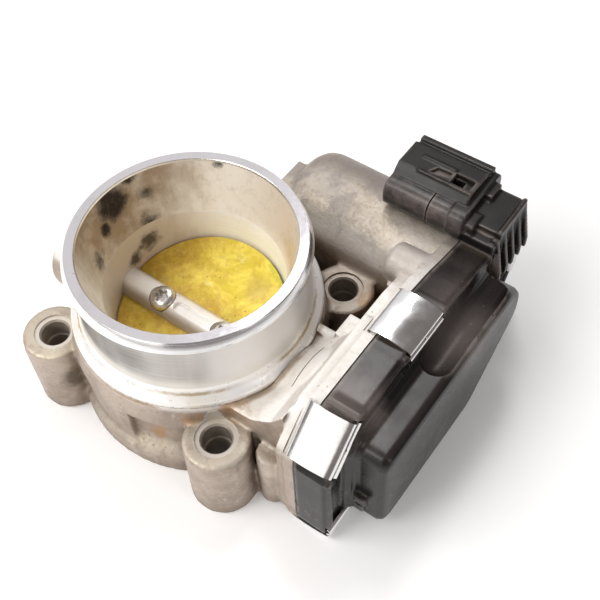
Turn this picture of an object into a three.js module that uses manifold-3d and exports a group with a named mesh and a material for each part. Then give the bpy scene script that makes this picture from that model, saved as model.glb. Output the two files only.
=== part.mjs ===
// Electronic throttle body: die-cast housing, butterfly valve, two-stage gear drive with a
// torsion spring, DC motor, clipped plastic cover with sensor board and connector.
// Units are millimetres. +Z points up out of the air inlet, +X runs along the throttle shaft
// towards the gear cover, and the origin is the bore axis on the manifold mounting face.
import * as THREE from "three";
import { mergeVertices } from "three/addons/utils/BufferGeometryUtils.js";
import Module from "manifold-3d";

const wasm = await Module();
wasm.setup();

// ---------- driving dimensions ----------
const GAP = 0.3; // clearance kept between separate pieces

const BODY_HEIGHT = 52; // mounting face to inlet rim
const RIM_RADIUS = 30;
const NECK_RADIUS = 29;
const INLET_RADIUS = 26.5;
const BORE_RADIUS = 22.8;
const BORE_BAND_TOP = 36; // top of the machined band around the plate
const RING_RADIUS = 32; // step under the neck
const RING_TOP = 31.5;

const BOLT_PITCH = 53.2; // square pattern of the four manifold bolts
const BOSS_HEIGHT = 23.5;
const BOSS_RADIUS = 8;
const BOLT_HOLE_RADIUS = 3.5;
const FLANGE_RADIUS = 34.5;
const FLANGE_THICKNESS = 7;

const SHAFT_Y = -2.4;
const SHAFT_Z = 21.3;
const SHAFT_RADIUS = 4.2;
const SHAFT_LEFT = -38;
const SHAFT_RIGHT = 53;
const REST_TILT = 12; // degrees, limp-home opening
const CLOSED_TILT = 6;
const PLATE_THICKNESS = 1.6;
const PLATE_SCREW_X = 10;

const MOTOR_Y = 49.06;
const MOTOR_Z = 19.8;
const MOTOR_HOUSING_RADIUS = 16.4;
const MOTOR_POCKET_RADIUS = 14;
const MOTOR_CAN_RADIUS = 13.6;

const FLOOR_X = 44.6; // gear chamber floor
const FLANGE_X = 47; // joint face between housing and cover
const COVER_FRONT_X = 57;
const PLATE_INNER_X = 54.9;
const BULGE_FRONT_X = 66.6;
const WALL = 1.8;

const SECTOR_MODULE = 0.9;
const SECTOR_TEETH = 37; // on the full circle
const SMALL_TEETH = 33;
const MOTOR_MODULE = 0.8;
const LARGE_TEETH = 41;
const PINION_TEETH = 9;
const MOTOR_SHAFT_RADIUS = 1.15;
const GEAR_PIN_RADIUS = 2.5;

const LARGE_GEAR_X = [47.8, 50.2];
const SMALL_GEAR_X = [50.2, 54.2];
const SECTOR_X = [51, 54.2];
const PINION_X = [47.2, 51];

const CONNECTOR_PINS = 6;
const PIN_PITCH = 2.4;
const PIN_ROW_Z = 41.2;
const PIN_WIDTH = 1;
const PIN_THICKNESS = 0.6;

const sectorPitch = (SECTOR_MODULE * SECTOR_TEETH) / 2;
const smallPitch = (SECTOR_MODULE * SMALL_TEETH) / 2;
const largePitch = (MOTOR_MODULE * LARGE_TEETH) / 2;
const pinionPitch = (MOTOR_MODULE * PINION_TEETH) / 2;
const halfPitch = BOLT_PITCH / 2;
const rad = THREE.MathUtils.degToRad;

// The intermediate gear sits where both gear pairs mesh: the crossing of two circles, the
// upper one of the pair, around the throttle shaft and around the motor shaft.
function intermediateAxis() {
  const mesh = sectorPitch + smallPitch;
  const drive = largePitch + pinionPitch;
  const dy = MOTOR_Y - SHAFT_Y;
  const dz = MOTOR_Z - SHAFT_Z;
  const span = Math.hypot(dy, dz);
  const along = (mesh * mesh - drive * drive + span * span) / (2 * span);
  const aside = Math.sqrt(mesh * mesh - along * along);
  return [
    SHAFT_Y + (along * dy - aside * dz) / span,
    SHAFT_Z + (along * dz + aside * dy) / span,
  ];
}
const [IDLER_Y, IDLER_Z] = intermediateAxis();

// ---------- geometry helpers ----------
const SHAPE_TO_X = new THREE.Matrix4().set(0, 0, 1, 0, 1, 0, 0, 0, 0, 1, 0, 0, 0, 0, 0, 1);
const LATHE_TO_X = new THREE.Matrix4().set(0, 1, 0, 0, 0, 0, 1, 0, 1, 0, 0, 0, 0, 0, 0, 1);
const LATHE_TO_Z = new THREE.Matrix4().set(0, 0, 1, 0, 1, 0, 0, 0, 0, 1, 0, 0, 0, 0, 0, 1);

function solid(geometry) {
  const bare = geometry.clone();
  bare.deleteAttribute("normal");
  bare.deleteAttribute("uv");
  const merged = mergeVertices(bare, 1e-4);
  return new wasm.Manifold(
    new wasm.Mesh({
      numProp: 3,
      vertProperties: new Float32Array(merged.attributes.position.array),
      triVerts: new Uint32Array(merged.index.array),
    }),
  );
}

function geometryOf(manifold) {
  const mesh = manifold.getMesh();
  const geometry = new THREE.BufferGeometry();
  geometry.setAttribute("position", new THREE.BufferAttribute(mesh.vertProperties, 3));
  geometry.setIndex(new THREE.BufferAttribute(mesh.triVerts, 1));
  return geometry;
}

const join = (...pieces) => pieces.reduce((sum, piece) => sum.add(piece));
const cut = (body, ...tools) => tools.reduce((rest, tool) => rest.subtract(tool), body);

function box(x, y, z) {
  const geometry = new THREE.BoxGeometry(x[1] - x[0], y[1] - y[0], z[1] - z[0]);
  geometry.translate((x[0] + x[1]) / 2, (y[0] + y[1]) / 2, (z[0] + z[1]) / 2);
  return solid(geometry);
}

// Profile points are [radius, height]; the lathe turns around Z, or around X at (y, z).
function turnedZ(profile, segments, x = 0, y = 0) {
  const points = profile.map(([r, h]) => new THREE.Vector2(r, h));
  const geometry = new THREE.LatheGeometry(points, segments).applyMatrix4(LATHE_TO_Z);
  return solid(geometry.translate(x, y, 0));
}

function turnedX(profile, segments, y = 0, z = 0) {
  const points = profile.map(([r, h]) => new THREE.Vector2(r, h));
  const geometry = new THREE.LatheGeometry(points, segments).applyMatrix4(LATHE_TO_X);
  return solid(geometry.translate(0, y, z));
}

const rodX = (r, x, y, z, segments = 24) =>
  turnedX([[0, x[0]], [r, x[0]], [r, x[1]], [0, x[1]]], segments, y, z);
const rodZ = (r, z, x, y, segments = 24) =>
  turnedZ([[0, z[0]], [r, z[0]], [r, z[1]], [0, z[1]]], segments, x, y);
function tubeX(inner, outer, [x0, x1], y, z, segments = 32) {
  const section = [[inner, x0], [outer, x0], [outer, x1], [inner, x1], [inner, x0]];
  return turnedX(section, segments, y, z);
}

// Extrudes a closed outline given in (y, z) along X.
function prismX(outline, x, bevel = 0) {
  const shape = new THREE.Shape(outline.map(([y, z]) => new THREE.Vector2(y, z)));
  const geometry = new THREE.ExtrudeGeometry(shape, {
    depth: x[1] - x[0] - 2 * bevel,
    bevelEnabled: bevel > 0,
    bevelThickness: bevel,
    bevelSize: bevel,
    bevelOffset: -bevel,
    bevelSegments: 2,
  });
  return solid(geometry.applyMatrix4(SHAPE_TO_X).translate(x[0] + bevel, 0, 0));
}

const SMOOTH_ANGLE = 157; // corners flatter than this stay as they are

// Rounds the sharp corners of an outline with curves of the given reach.
function rounded(outline, radius, steps = 3) {
  const result = [];
  outline.forEach(([y, z], i) => {
    const corner = new THREE.Vector2(y, z);
    const before = new THREE.Vector2(...outline[(i + outline.length - 1) % outline.length]);
    const after = new THREE.Vector2(...outline[(i + 1) % outline.length]);
    const into = before.sub(corner);
    const out = after.sub(corner);
    const reach = Math.min(radius, into.length() * 0.45, out.length() * 0.45);
    const start = corner.clone().addScaledVector(into.normalize(), reach);
    const end = corner.clone().addScaledVector(out.normalize(), reach);
    if (into.angleTo(out) > rad(SMOOTH_ANGLE)) {
      result.push([y, z]);
      return;
    }
    const curve = new THREE.QuadraticBezierCurve(start, corner, end);
    curve.getPoints(steps).forEach((p) => result.push([p.x, p.y]));
  });
  return result;
}

// Moves every edge of a closed counter-clockwise outline inwards by a distance.
function inset(outline, distance) {
  const count = outline.length;
  return outline.map((point, i) => {
    const p = new THREE.Vector2(...point);
    const a = new THREE.Vector2(...outline[(i + count - 1) % count]);
    const b = new THREE.Vector2(...outline[(i + 1) % count]);
    const d1 = p.clone().sub(a).normalize();
    const d2 = b.clone().sub(p).normalize();
    const n1 = new THREE.Vector2(-d1.y, d1.x);
    const n2 = new THREE.Vector2(-d2.y, d2.x);
    const mid = n1.clone().add(n2).normalize();
    p.addScaledVector(mid, distance / Math.max(0.5, mid.dot(n1)));
    return [p.x, p.y];
  });
}

const arc = (cy, cz, r, from, to, steps) =>
  Array.from({ length: steps + 1 }, (_, i) => {
    const a = rad(from + ((to - from) * i) / steps);
    return [cy + r * Math.cos(a), cz + r * Math.sin(a)];
  });

// ---------- outlines of the gear side, in (y, z), counter-clockwise ----------
const GEAR_BOTTOM = 1.2;
const GEAR_TOP = 42.5;
const GEAR_LEFT = -25;
const MOTOR_RIM_RADIUS = 17.4;
const RIM_WIDTH = 2.6;
const GROOVE = [0.7, 2];

const gearCorners = [
  [GEAR_LEFT, GEAR_BOTTOM],
  [MOTOR_Y - 6, GEAR_BOTTOM],
  ...arc(MOTOR_Y, MOTOR_Z, MOTOR_RIM_RADIUS, -65, 95, 10),
  [38, 39.2],
  [32, 40.9],
  [22, GEAR_TOP],
  [-15, GEAR_TOP],
  [GEAR_LEFT, 33],
];

const bulgeCorners = [
  [-15.5, 3.8],
  [12, 2.4],
  [27, 1.8],
  [48.2, 21.4],
  [48.2, 30],
  [41, 35.5],
  [-15.5, 35.5],
];

const gearOutline = (depth) => rounded(inset(gearCorners, depth), 2.5 - depth / 2, 2);
const bulgeOutline = (depth) => rounded(inset(bulgeCorners, depth), 3 - depth / 2, 3);

// ---------- housing ----------
const BEARING_X = [28, 34];
const SPRING_POCKET_X = 36;
const SPRING_POCKET_RADIUS = 12.6;
const BEARING_RADIUS = 9.5;
const NEEDLE_X = [-37, -27];
const NEEDLE_RADIUS = 6;
const SHAFT_BOSS_END = -43;

const bosses = [
  [-halfPitch, -halfPitch],
  [halfPitch, -halfPitch],
  [halfPitch, halfPitch],
  [-halfPitch, halfPitch],
];

function bodyCore() {
  return turnedZ(
    [
      [0, 0],
      [FLANGE_RADIUS, 0],
      [FLANGE_RADIUS, FLANGE_THICKNESS - 1],
      [FLANGE_RADIUS - 1.5, FLANGE_THICKNESS],
      [30.5, FLANGE_THICKNESS + 2],
      [30.2, 20.5],
      [33.2, 22],
      [33.2, 28],
      [RING_RADIUS, 29],
      [RING_RADIUS, RING_TOP - 1],
      [RING_RADIUS - 1.2, RING_TOP],
      [NECK_RADIUS, RING_TOP + 2],
      [NECK_RADIUS, BODY_HEIGHT - 4],
      [RIM_RADIUS, BODY_HEIGHT - 3.4],
      [RIM_RADIUS, BODY_HEIGHT - 2.4],
      [NECK_RADIUS, BODY_HEIGHT],
      [0, BODY_HEIGHT],
    ],
    36,
  );
}

function boreCutter() {
  return turnedZ(
    [
      [0, -1],
      [BORE_RADIUS, -1],
      [BORE_RADIUS, BORE_BAND_TOP],
      [BORE_RADIUS + 0.4, BORE_BAND_TOP + 0.4],
      [INLET_RADIUS - 0.6, BODY_HEIGHT - 6],
      [INLET_RADIUS, BODY_HEIGHT],
      [INLET_RADIUS, BODY_HEIGHT + 1],
      [0, BODY_HEIGHT + 1],
    ],
    36,
  );
}

function boltBoss([x, y]) {
  const post = turnedZ(
    [
      [0, 0],
      [BOSS_RADIUS + 0.6, 0],
      [BOSS_RADIUS, BOSS_HEIGHT - 0.5],
      [BOSS_RADIUS - 0.5, BOSS_HEIGHT],
      [0, BOSS_HEIGHT],
    ],
    16,
    x,
    y,
  );
  const web = new THREE.BoxGeometry(18, 10, 22.4);
  web.translate(-9, 0, 11.2);
  web.rotateZ(Math.atan2(y, x));
  web.translate(x, y, 0);
  return post.add(solid(web));
}

// Filled wall between the flange and the step under the neck, beside one bolt boss.
function bodyWeb() {
  const outline = new THREE.Shape();
  outline.absarc(0, 0, 32.9, rad(232), rad(268), false);
  outline.absarc(0, 0, 27, rad(268), rad(232), true);
  const web = new THREE.ExtrudeGeometry(outline, {
    depth: 21,
    bevelEnabled: false,
    curveSegments: 5,
  });
  web.translate(0, 0, 3);
  return solid(web);
}

// A thin upright rib between the flange and the step under the neck.
function bodyRib(angle) {
  const rib = new THREE.BoxGeometry(9, 3, 21);
  rib.translate(29.3, 0, 11.5);
  rib.rotateZ(rad(angle));
  return solid(rib);
}

// Solid roof that carries the shaft bearing between the bore and the gear flange.
function bearingTower() {
  const roof = new THREE.Shape(
    [
      [18, 0.8],
      [18, 29.6],
      [30, 30.4],
      [38, 34.5],
      [42, 39.5],
      [42, 0.8],
    ].map(([x, z]) => new THREE.Vector2(x, z)),
  );
  const block = new THREE.ExtrudeGeometry(roof, { depth: 28, bevelEnabled: false });
  block.rotateX(Math.PI / 2).translate(0, 8, 0);
  const cornerPost = rodZ(3.6, [0.8, 22], 38.6, -21.5, 20);
  const thinRib = box([26, 42], [8, 10.5], [0.8, 30.8]);
  const ribPad = box([36.5, 42], [8, 15], [22, 34]);
  const boss = rodX(SPRING_POCKET_RADIUS + 2.6, [22, 42], SHAFT_Y, SHAFT_Z, 22);
  return join(solid(block), cornerPost, thinRib, ribPad, boss);
}

function motorHousing() {
  const shell = turnedX(
    [
      [0, -2],
      [11.8, -2],
      [14.4, -1.2],
      [15.9, 0.6],
      [MOTOR_HOUSING_RADIUS, 3.6],
      [MOTOR_HOUSING_RADIUS, 42],
      [0, 42],
    ],
    26,
    MOTOR_Y,
    MOTOR_Z,
  );
  const endLug = box([-4.6, 3], [36, 50.6], [26.2, 33]);
  const sideBoss = turnedX(
    [[0, 35.8], [4.4, 35.8], [5.4, 36.8], [5.4, 42], [0, 42]],
    24,
    34.6,
    34.4,
  );
  const saddle = box([4, 42], [24, 42], [3, 17]);
  const bossFoot = box([38.5, 42], [28, 42], [16, 33]);
  return join(shell, endLug, sideBoss, saddle, bossFoot);
}

function gearFlange() {
  const rim = prismX(gearOutline(0), [43.6, FLANGE_X]);
  const backing = prismX(gearOutline(1.5), [40.8, 43.8]);
  // The motor housing meets the rim directly, so the backing steps inward there.
  const motorStep = cut(box([40, 43.6], [14, 80], [25, 60]), prismX(gearOutline(4.2), [39, 45]));
  const recess = prismX(gearOutline(RIM_WIDTH), [FLOOR_X, FLANGE_X + 1]);
  return cut(rim.add(cut(backing, motorStep)), recess, ...clipPlaces.map(hookNotch));
}

function gasketGroove([x0, x1]) {
  const core = prismX(gearOutline(GROOVE[1]), [x0 - 1, x1 + 1]);
  return cut(prismX(gearOutline(GROOVE[0]), [x0, x1]), core);
}

function buildGasket() {
  const core = prismX(gearOutline(GROOVE[1] - GAP), [40, 50]);
  return cut(prismX(gearOutline(GROOVE[0] + GAP), [46, 48.4]), core);
}

function shaftBoss() {
  return turnedX(
    [
      [0, SHAFT_BOSS_END],
      [8.8, SHAFT_BOSS_END],
      [10.1, SHAFT_BOSS_END + 1.2],
      [10.6, -22],
      [0, -22],
    ],
    22,
    SHAFT_Y,
    SHAFT_Z,
  );
}

function buildHousing() {
  const body = join(
    bodyCore(),
    ...bosses.map(boltBoss),
    bodyWeb(),
    ...[279, 162, 198, 108].map(bodyRib),
    shaftBoss(),
    bearingTower(),
    motorHousing(),
    gearFlange(),
  );
  const shaftCutter = turnedX(
    [
      [0, SHAFT_BOSS_END - 1],
      [7.2, SHAFT_BOSS_END - 1],
      [7.2, -39.5],
      [NEEDLE_RADIUS + GAP, -39.5],
      [NEEDLE_RADIUS + GAP, NEEDLE_X[1] + GAP],
      [SHAFT_RADIUS + GAP, NEEDLE_X[1] + GAP],
      [SHAFT_RADIUS + GAP, 23.6],
      [BEARING_RADIUS - 2, 23.6],
      [BEARING_RADIUS - 2, BEARING_X[0] - GAP],
      [BEARING_RADIUS + GAP, BEARING_X[0] - GAP],
      [BEARING_RADIUS + GAP, SPRING_POCKET_X],
      [SPRING_POCKET_RADIUS, SPRING_POCKET_X],
      [SPRING_POCKET_RADIUS, FLOOR_X + 1],
      [0, FLOOR_X + 1],
    ],
    22,
    SHAFT_Y,
    SHAFT_Z,
  );
  const motorPocket = turnedX(
    [
      [0, 1.6],
      [6, 1.6],
      [MOTOR_POCKET_RADIUS, 3.4],
      [MOTOR_POCKET_RADIUS, FLANGE_X + 1],
      [0, FLANGE_X + 1],
    ],
    26,
    MOTOR_Y,
    MOTOR_Z,
  );
  return cut(
    body,
    boreCutter(),
    shaftCutter,
    motorPocket,
    gasketGroove([45.7, FLANGE_X + 1]),
    ...bosses.map(([x, y]) => rodZ(BOLT_HOLE_RADIUS, [-1, BOSS_HEIGHT + 10], x, y, 12)),
    rodX(GEAR_PIN_RADIUS + GAP, [41.4, FLOOR_X + 1], IDLER_Y, IDLER_Z, 20),
    ...motorScrewPlaces.map(([y, z]) => rodX(1.5 + GAP, [41.4, FLOOR_X + 1], y, z, 16)),
    rodX(2 + GAP, [42, FLOOR_X + 1], ...stopScrewPlace, 16),
  );
}

// ---------- gears ----------
// Straight-sided tooth outline around the origin, counter-clockwise.
function gearOutlinePoints(teeth, module, first = 0, count = teeth, phase = 0) {
  const pitch = (teeth * module) / 2;
  const tip = pitch + 0.75 * module;
  const root = pitch - 0.95 * module;
  const step = 360 / teeth;
  const points = [];
  for (let i = first; i < first + count; i++) {
    const middle = phase + i * step;
    [[-0.31, root], [-0.13, tip], [0.13, tip], [0.31, root]].forEach(([offset, radius]) => {
      const a = rad(middle + offset * step);
      points.push([radius * Math.cos(a), radius * Math.sin(a)]);
    });
  }
  return points;
}

// Tooth phase that puts a tooth (or a gap) on the line towards a neighbouring axis.
const towards = (fromY, fromZ, toY, toZ) => (Math.atan2(toZ - fromZ, toY - fromY) * 180) / Math.PI;
const toSmall = towards(SHAFT_Y, SHAFT_Z, IDLER_Y, IDLER_Z);
const toMotor = towards(IDLER_Y, IDLER_Z, MOTOR_Y, MOTOR_Z);

const SECTOR_FIRST = -10; // teeth counted from the one on the mesh line at rest
const SECTOR_COUNT = 14;

function buildSectorGear() {
  const teeth = gearOutlinePoints(SECTOR_TEETH, SECTOR_MODULE, SECTOR_FIRST, SECTOR_COUNT, toSmall);
  const hubSide = arc(0, 0, 8.4, toSmall + 75, toSmall + 245, 8);
  const wheel = prismX([...teeth, ...hubSide], SECTOR_X);
  const hub = turnedX([[0, 49.4], [8.4, 49.4], [8.4, 57.4], [7.6, 58.6], [0, 58.6]], 32);
  const bore = rodX(5 + GAP, [40, 55.2], 0, 0, 24);
  const magnetSeat = tubeX(4.4, 6.6 + GAP, [55.6, 60], 0, 0, 28);
  return cut(wheel.add(hub), bore, magnetSeat);
}

function buildIntermediateGear() {
  const step = 360 / SMALL_TEETH;
  const large = prismX(
    gearOutlinePoints(LARGE_TEETH, MOTOR_MODULE, 0, LARGE_TEETH, toMotor),
    LARGE_GEAR_X,
  );
  const small = prismX(
    gearOutlinePoints(SMALL_TEETH, SECTOR_MODULE, 0, SMALL_TEETH, toSmall + 180 + step / 2),
    [SMALL_GEAR_X[0] - 0.2, SMALL_GEAR_X[1]],
  );
  const ribsCut = tubeX(5.4, 11.4, [SMALL_GEAR_X[0] + 1.6, SMALL_GEAR_X[1] + 1], 0, 0, 16);
  const hub = rodX(4.6, [46.4, 54.5], 0, 0, 16);
  const bore = rodX(GEAR_PIN_RADIUS + GAP, [40, 60], 0, 0, 14);
  return cut(join(large, cut(small, ribsCut), hub), bore);
}

function buildPinion() {
  const step = 360 / PINION_TEETH;
  const wheel = prismX(
    gearOutlinePoints(PINION_TEETH, MOTOR_MODULE, 0, PINION_TEETH, toMotor + 180 + step / 2),
    PINION_X,
  );
  return cut(wheel, rodX(MOTOR_SHAFT_RADIUS + GAP, [40, 60], 0, 0, 16));
}

// ---------- throttle valve ----------
function buildThrottleShaft() {
  const bar = turnedX(
    [
      [0, SHAFT_LEFT],
      [3.7, SHAFT_LEFT],
      [SHAFT_RADIUS, SHAFT_LEFT + 0.6],
      [SHAFT_RADIUS, 26.6],
      [4, 26.6],
      [4, 46.6],
      [3.6, 47],
      [3.6, SHAFT_RIGHT],
      [0, SHAFT_RIGHT],
    ],
    20,
  );
  const plateHalf = BORE_RADIUS + 0.2;
  const slot = box(
    [-plateHalf, plateHalf],
    [-10, 10],
    [-PLATE_THICKNESS / 2 - GAP, PLATE_THICKNESS / 2 + GAP],
  );
  const relief = rodX(1.5, [-5, 5], 0, 4.4, 16);
  const screwSeats = [-1, 1].flatMap((side) => [
    rodZ(3.2 + GAP, [2.1, 6], side * PLATE_SCREW_X, 0, 20),
    rodZ(2 + GAP, [-6, 6], side * PLATE_SCREW_X, 0, 16),
  ]);
  return cut(bar, slot, relief, ...screwSeats);
}

// The disc that closes the bore, cut so that its rim fits the bore at the closed tilt.
function buildThrottlePlate() {
  const slab = new THREE.BoxGeometry(60, 60, PLATE_THICKNESS);
  slab.rotateX(rad(CLOSED_TILT));
  const column = new THREE.CylinderGeometry(BORE_RADIUS - GAP, BORE_RADIUS - GAP, 30, 56);
  column.rotateX(Math.PI / 2).translate(0, -SHAFT_Y, 0);
  const level = geometryOf(solid(slab).intersect(solid(column)));
  level.rotateX(-rad(CLOSED_TILT));
  const holes = [-1, 1].map((side) => rodZ(2 + GAP, [-3, 3], side * PLATE_SCREW_X, 0, 16));
  return cut(solid(level), ...holes);
}

function buildPlateScrew() {
  const screw = turnedZ(
    [[0, -4.4], [1.6, -4.4], [2, -3.9], [2, 2.4], [3.2, 2.4], [3.2, 3.6], [2.4, 4.4], [0, 4.4]],
    24,
  );
  const star = new THREE.Shape();
  for (let i = 0; i < 12; i++) {
    const a = rad(i * 30);
    const r = i % 2 ? 1.15 : 1.7;
    const p = new THREE.Vector2(r * Math.cos(a), r * Math.sin(a));
    if (i) star.lineTo(p.x, p.y);
    else star.moveTo(p.x, p.y);
  }
  const socket = new THREE.ExtrudeGeometry(star, { depth: 3, bevelEnabled: false });
  return cut(screw, solid(socket.translate(0, 0, 2.9)));
}

// ---------- bearings ----------
const BALL_COUNT = 7;
const BALL_CIRCLE_RADIUS = 6.75;

function buildBallSet() {
  const middleX = (BEARING_X[0] + BEARING_X[1]) / 2;
  const cage = tubeX(6.5, 7.1, [middleX - 0.7, middleX + 0.7], SHAFT_Y, SHAFT_Z, 20);
  const balls = Array.from({ length: BALL_COUNT }, (_, i) => {
    const a = rad((i * 360) / BALL_COUNT);
    const ball = new THREE.IcosahedronGeometry(1, 0);
    return solid(
      ball.translate(
        middleX,
        SHAFT_Y + BALL_CIRCLE_RADIUS * Math.cos(a),
        SHAFT_Z + BALL_CIRCLE_RADIUS * Math.sin(a),
      ),
    );
  });
  return join(cage, ...balls);
}

function buildEndPlug() {
  const cup = [
    [0, -42.6],
    [6.2, -42.6],
    [6.9, -42],
    [6.9, -39.8],
    [6.3, -39.8],
    [6.3, -42],
    [0, -42],
  ];
  return turnedX(cup, 28, SHAFT_Y, SHAFT_Z);
}

// ---------- springs and washers ----------
class Coil extends THREE.Curve {
  constructor(radius, x0, pitch, turns, startAngle, y, z) {
    super();
    Object.assign(this, { radius, x0, pitch, turns, startAngle, y, z });
  }
  getPoint(t, target = new THREE.Vector3()) {
    const a = this.startAngle + t * this.turns * 2 * Math.PI;
    return target.set(
      this.x0 + t * this.turns * this.pitch,
      this.y + this.radius * Math.cos(a),
      this.z + this.radius * Math.sin(a),
    );
  }
}

function buildReturnSpring() {
  const wire = new THREE.Shape();
  wire.absarc(0, 0, 0.7, 0, 2 * Math.PI, false);
  const coil = new Coil(10.9, 37.6, 1.85, 4.5, 0, SHAFT_Y, SHAFT_Z);
  return solid(
    new THREE.ExtrudeGeometry(wire, {
      steps: 60,
      curveSegments: 3,
      bevelEnabled: false,
      extrudePath: coil,
    }),
  );
}

function buildSpringGuide() {
  return turnedX(
    [
      [8, 36.3],
      [12.1, 36.3],
      [12.1, 36.9],
      [9.4, 36.9],
      [9.4, 46.6],
      [8, 46.6],
      [8, 36.3],
    ],
    32,
    SHAFT_Y,
    SHAFT_Z,
  );
}

function buildWaveWasher() {
  const plain = geometryOf(tubeX(5.2, 8.6, [2.2, 2.6], MOTOR_Y, MOTOR_Z, 36));
  const place = plain.attributes.position;
  for (let i = 0; i < place.count; i++) {
    const a = Math.atan2(place.getZ(i) - MOTOR_Z, place.getY(i) - MOTOR_Y);
    place.setX(i, place.getX(i) + 0.25 * (1 + Math.sin(3 * a)));
  }
  return solid(plain);
}

// ---------- cover ----------
const CLIP_WIDTH = 14.2;
const CLIP_THICKNESS = 0.5;
const CLIP_HOOK_X = [44.4, 46.2]; // pocket in the flange rim
const HOOK_DEPTH = 0.3;
const CLIP_SEAT_X = 56; // cover face under the rolled lip
const CLIP_NOTCH_DEPTH = 4.6;

// Each clip: middle of the outer edge in (y, z) and the outward angle in degrees.
const END_CLIP_ANGLE = 7;
const clipPlaces = [
  [-19.1, 38.6, 136.5],
  [15.3, GEAR_TOP, 90],
  [-17.2, GEAR_BOTTOM, -90],
  [38, GEAR_BOTTOM, -90],
  [
    MOTOR_Y + MOTOR_RIM_RADIUS * Math.cos(rad(END_CLIP_ANGLE)),
    MOTOR_Z + MOTOR_RIM_RADIUS * Math.sin(rad(END_CLIP_ANGLE)),
    END_CLIP_ANGLE,
  ],
];

// Places a piece modelled around its own origin, with outward along +Z, on the cover edge.
function onEdge(geometry, [y, z, outward]) {
  return geometry.rotateX(rad(outward - 90)).translate(0, y, z);
}

const CONNECTOR_Y = [46.1, 66.4];
const CONNECTOR_Z = [37.2, 45.4];
const SHROUD_MOUTH_X = 25.3;
const SHROUD_END_X = 46;
const CAVITY_END_X = 40;

function connectorShroud() {
  const body = prismX(
    rounded(
      [
        [CONNECTOR_Y[0], CONNECTOR_Z[0]],
        [CONNECTOR_Y[1], CONNECTOR_Z[0]],
        [CONNECTOR_Y[1], CONNECTOR_Z[1]],
        [CONNECTOR_Y[0], CONNECTOR_Z[1]],
      ],
      3.2,
    ),
    [SHROUD_MOUTH_X, 50],
  );
  const latch = prismX(
    [[51, 44], [63.6, 44], [63.6, 46.6], [62, 48], [53.4, 48], [51, 46.2]],
    [SHROUD_MOUTH_X, SHROUD_END_X],
  );
  const rail = box([SHROUD_MOUTH_X, SHROUD_END_X], [64.4, 66], [44, 46.6]);
  const collar = box([44.4, 47], [45.4, 67.1], [38.4, 44.2]);
  const plugSpace = [
    [48.1, 38.9],
    [64.4, 38.9],
    [64.4, 43.7],
    [62, 43.7],
    [62, 46.4],
    [52.8, 46.4],
    [52.8, 43.7],
    [48.1, 43.7],
  ];
  const cavity = prismX(plugSpace, [SHROUD_MOUTH_X - 1, CAVITY_END_X]);
  const window = box([36, 39.2], [55, 60], [44, 50]);
  return cut(join(body, latch, rail, collar), cavity, window);
}

function connectorTower() {
  const block = box([47.5, 57], [46.6, 66.4], [30, 43.6]);
  const lowLedge = box([48.5, 57.4], [46, 48], [38, 41.2]);
  const gussets = [49, 55.5, 62].map((y) => {
    const shape = new THREE.Shape(
      [[55, 30], [60.5, 30], [60.5, 33], [56.8, 43.4], [55, 43.4]].map(
        ([x, z]) => new THREE.Vector2(x, z),
      ),
    );
    const web = new THREE.ExtrudeGeometry(shape, { depth: 1.6, bevelEnabled: false });
    return solid(web.rotateX(Math.PI / 2).translate(0, y + 1.6, 0));
  });
  return join(block, lowLedge, ...gussets);
}

function buildCover() {
  const plate = cut(
    prismX(gearOutline(0.3), [FLANGE_X - 5, COVER_FRONT_X], 1.4),
    box([0, FLANGE_X + GAP], [-60, 90], [-20, 80]),
  );
  const bulge = prismX(bulgeOutline(0), [50, BULGE_FRONT_X], 2.2);
  const plateHollow = prismX(gearOutline(RIM_WIDTH), [0, PLATE_INNER_X]);
  const troughFloor = box([49, BULGE_FRONT_X], [11.5, 70], [32.1, 40]);
  const bulgeHollow = cut(prismX(bulgeOutline(2.4), [50, BULGE_FRONT_X - WALL]), troughFloor);
  const towerHollow = box([49.3, 55], [48.9, 64.2], [28, PIN_ROW_Z - 0.5]);
  const trough = turnedYCapsule(61.2, 37.4, 4.2, 18, 60);
  const notches = clipPlaces.map(clipNotch);
  const shell = cut(
    join(plate, bulge, connectorTower(), connectorShroud()),
    plateHollow,
    bulgeHollow,
    gasketGroove([FLANGE_X - 1, 48.7]),
    trough,
    towerHollow,
    ...notches,
    ...pinPlaces.map(pinSlot),
  );
  return cut(shell, motorRelief());
}

function pinSlot(y) {
  const halfWidth = PIN_WIDTH / 2 + GAP;
  const halfDepth = PIN_THICKNESS / 2 + GAP;
  return box(
    [CAVITY_END_X - 1, 60],
    [y - halfWidth, y + halfWidth],
    [PIN_ROW_Z - halfDepth, PIN_ROW_Z + halfDepth],
  );
}

// Keeps the cover clear of the motor casting under the connector.
function motorRelief() {
  return rodX(MOTOR_HOUSING_RADIUS + 1, [20, FLANGE_X + GAP], MOTOR_Y, MOTOR_Z, 40);
}

// Horizontal capsule-ended cutter along Y.
function turnedYCapsule(x, z, r, y0, y1) {
  const geometry = new THREE.CapsuleGeometry(r, y1 - y0, 4, 16);
  return solid(geometry.translate(x, (y0 + y1) / 2, z));
}

// Pocket in the cover edge that lets a clip hook over the front face.
function clipNotch(place) {
  const width = CLIP_WIDTH + 1;
  const geometry = new THREE.BoxGeometry(4, width, CLIP_NOTCH_DEPTH + 3);
  geometry.translate(CLIP_SEAT_X + 2, 0, (3 - CLIP_NOTCH_DEPTH) / 2);
  return solid(onEdge(geometry, place));
}

// Shallow pocket in the flange rim that takes the back hook of a clip.
function hookNotch(place) {
  const [back, land] = CLIP_HOOK_X;
  const geometry = new THREE.BoxGeometry(land - back, CLIP_WIDTH + 1, HOOK_DEPTH + 3.3);
  geometry.translate((back + land) / 2, 0, (2.7 - HOOK_DEPTH) / 2);
  return solid(onEdge(geometry, place));
}

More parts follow.
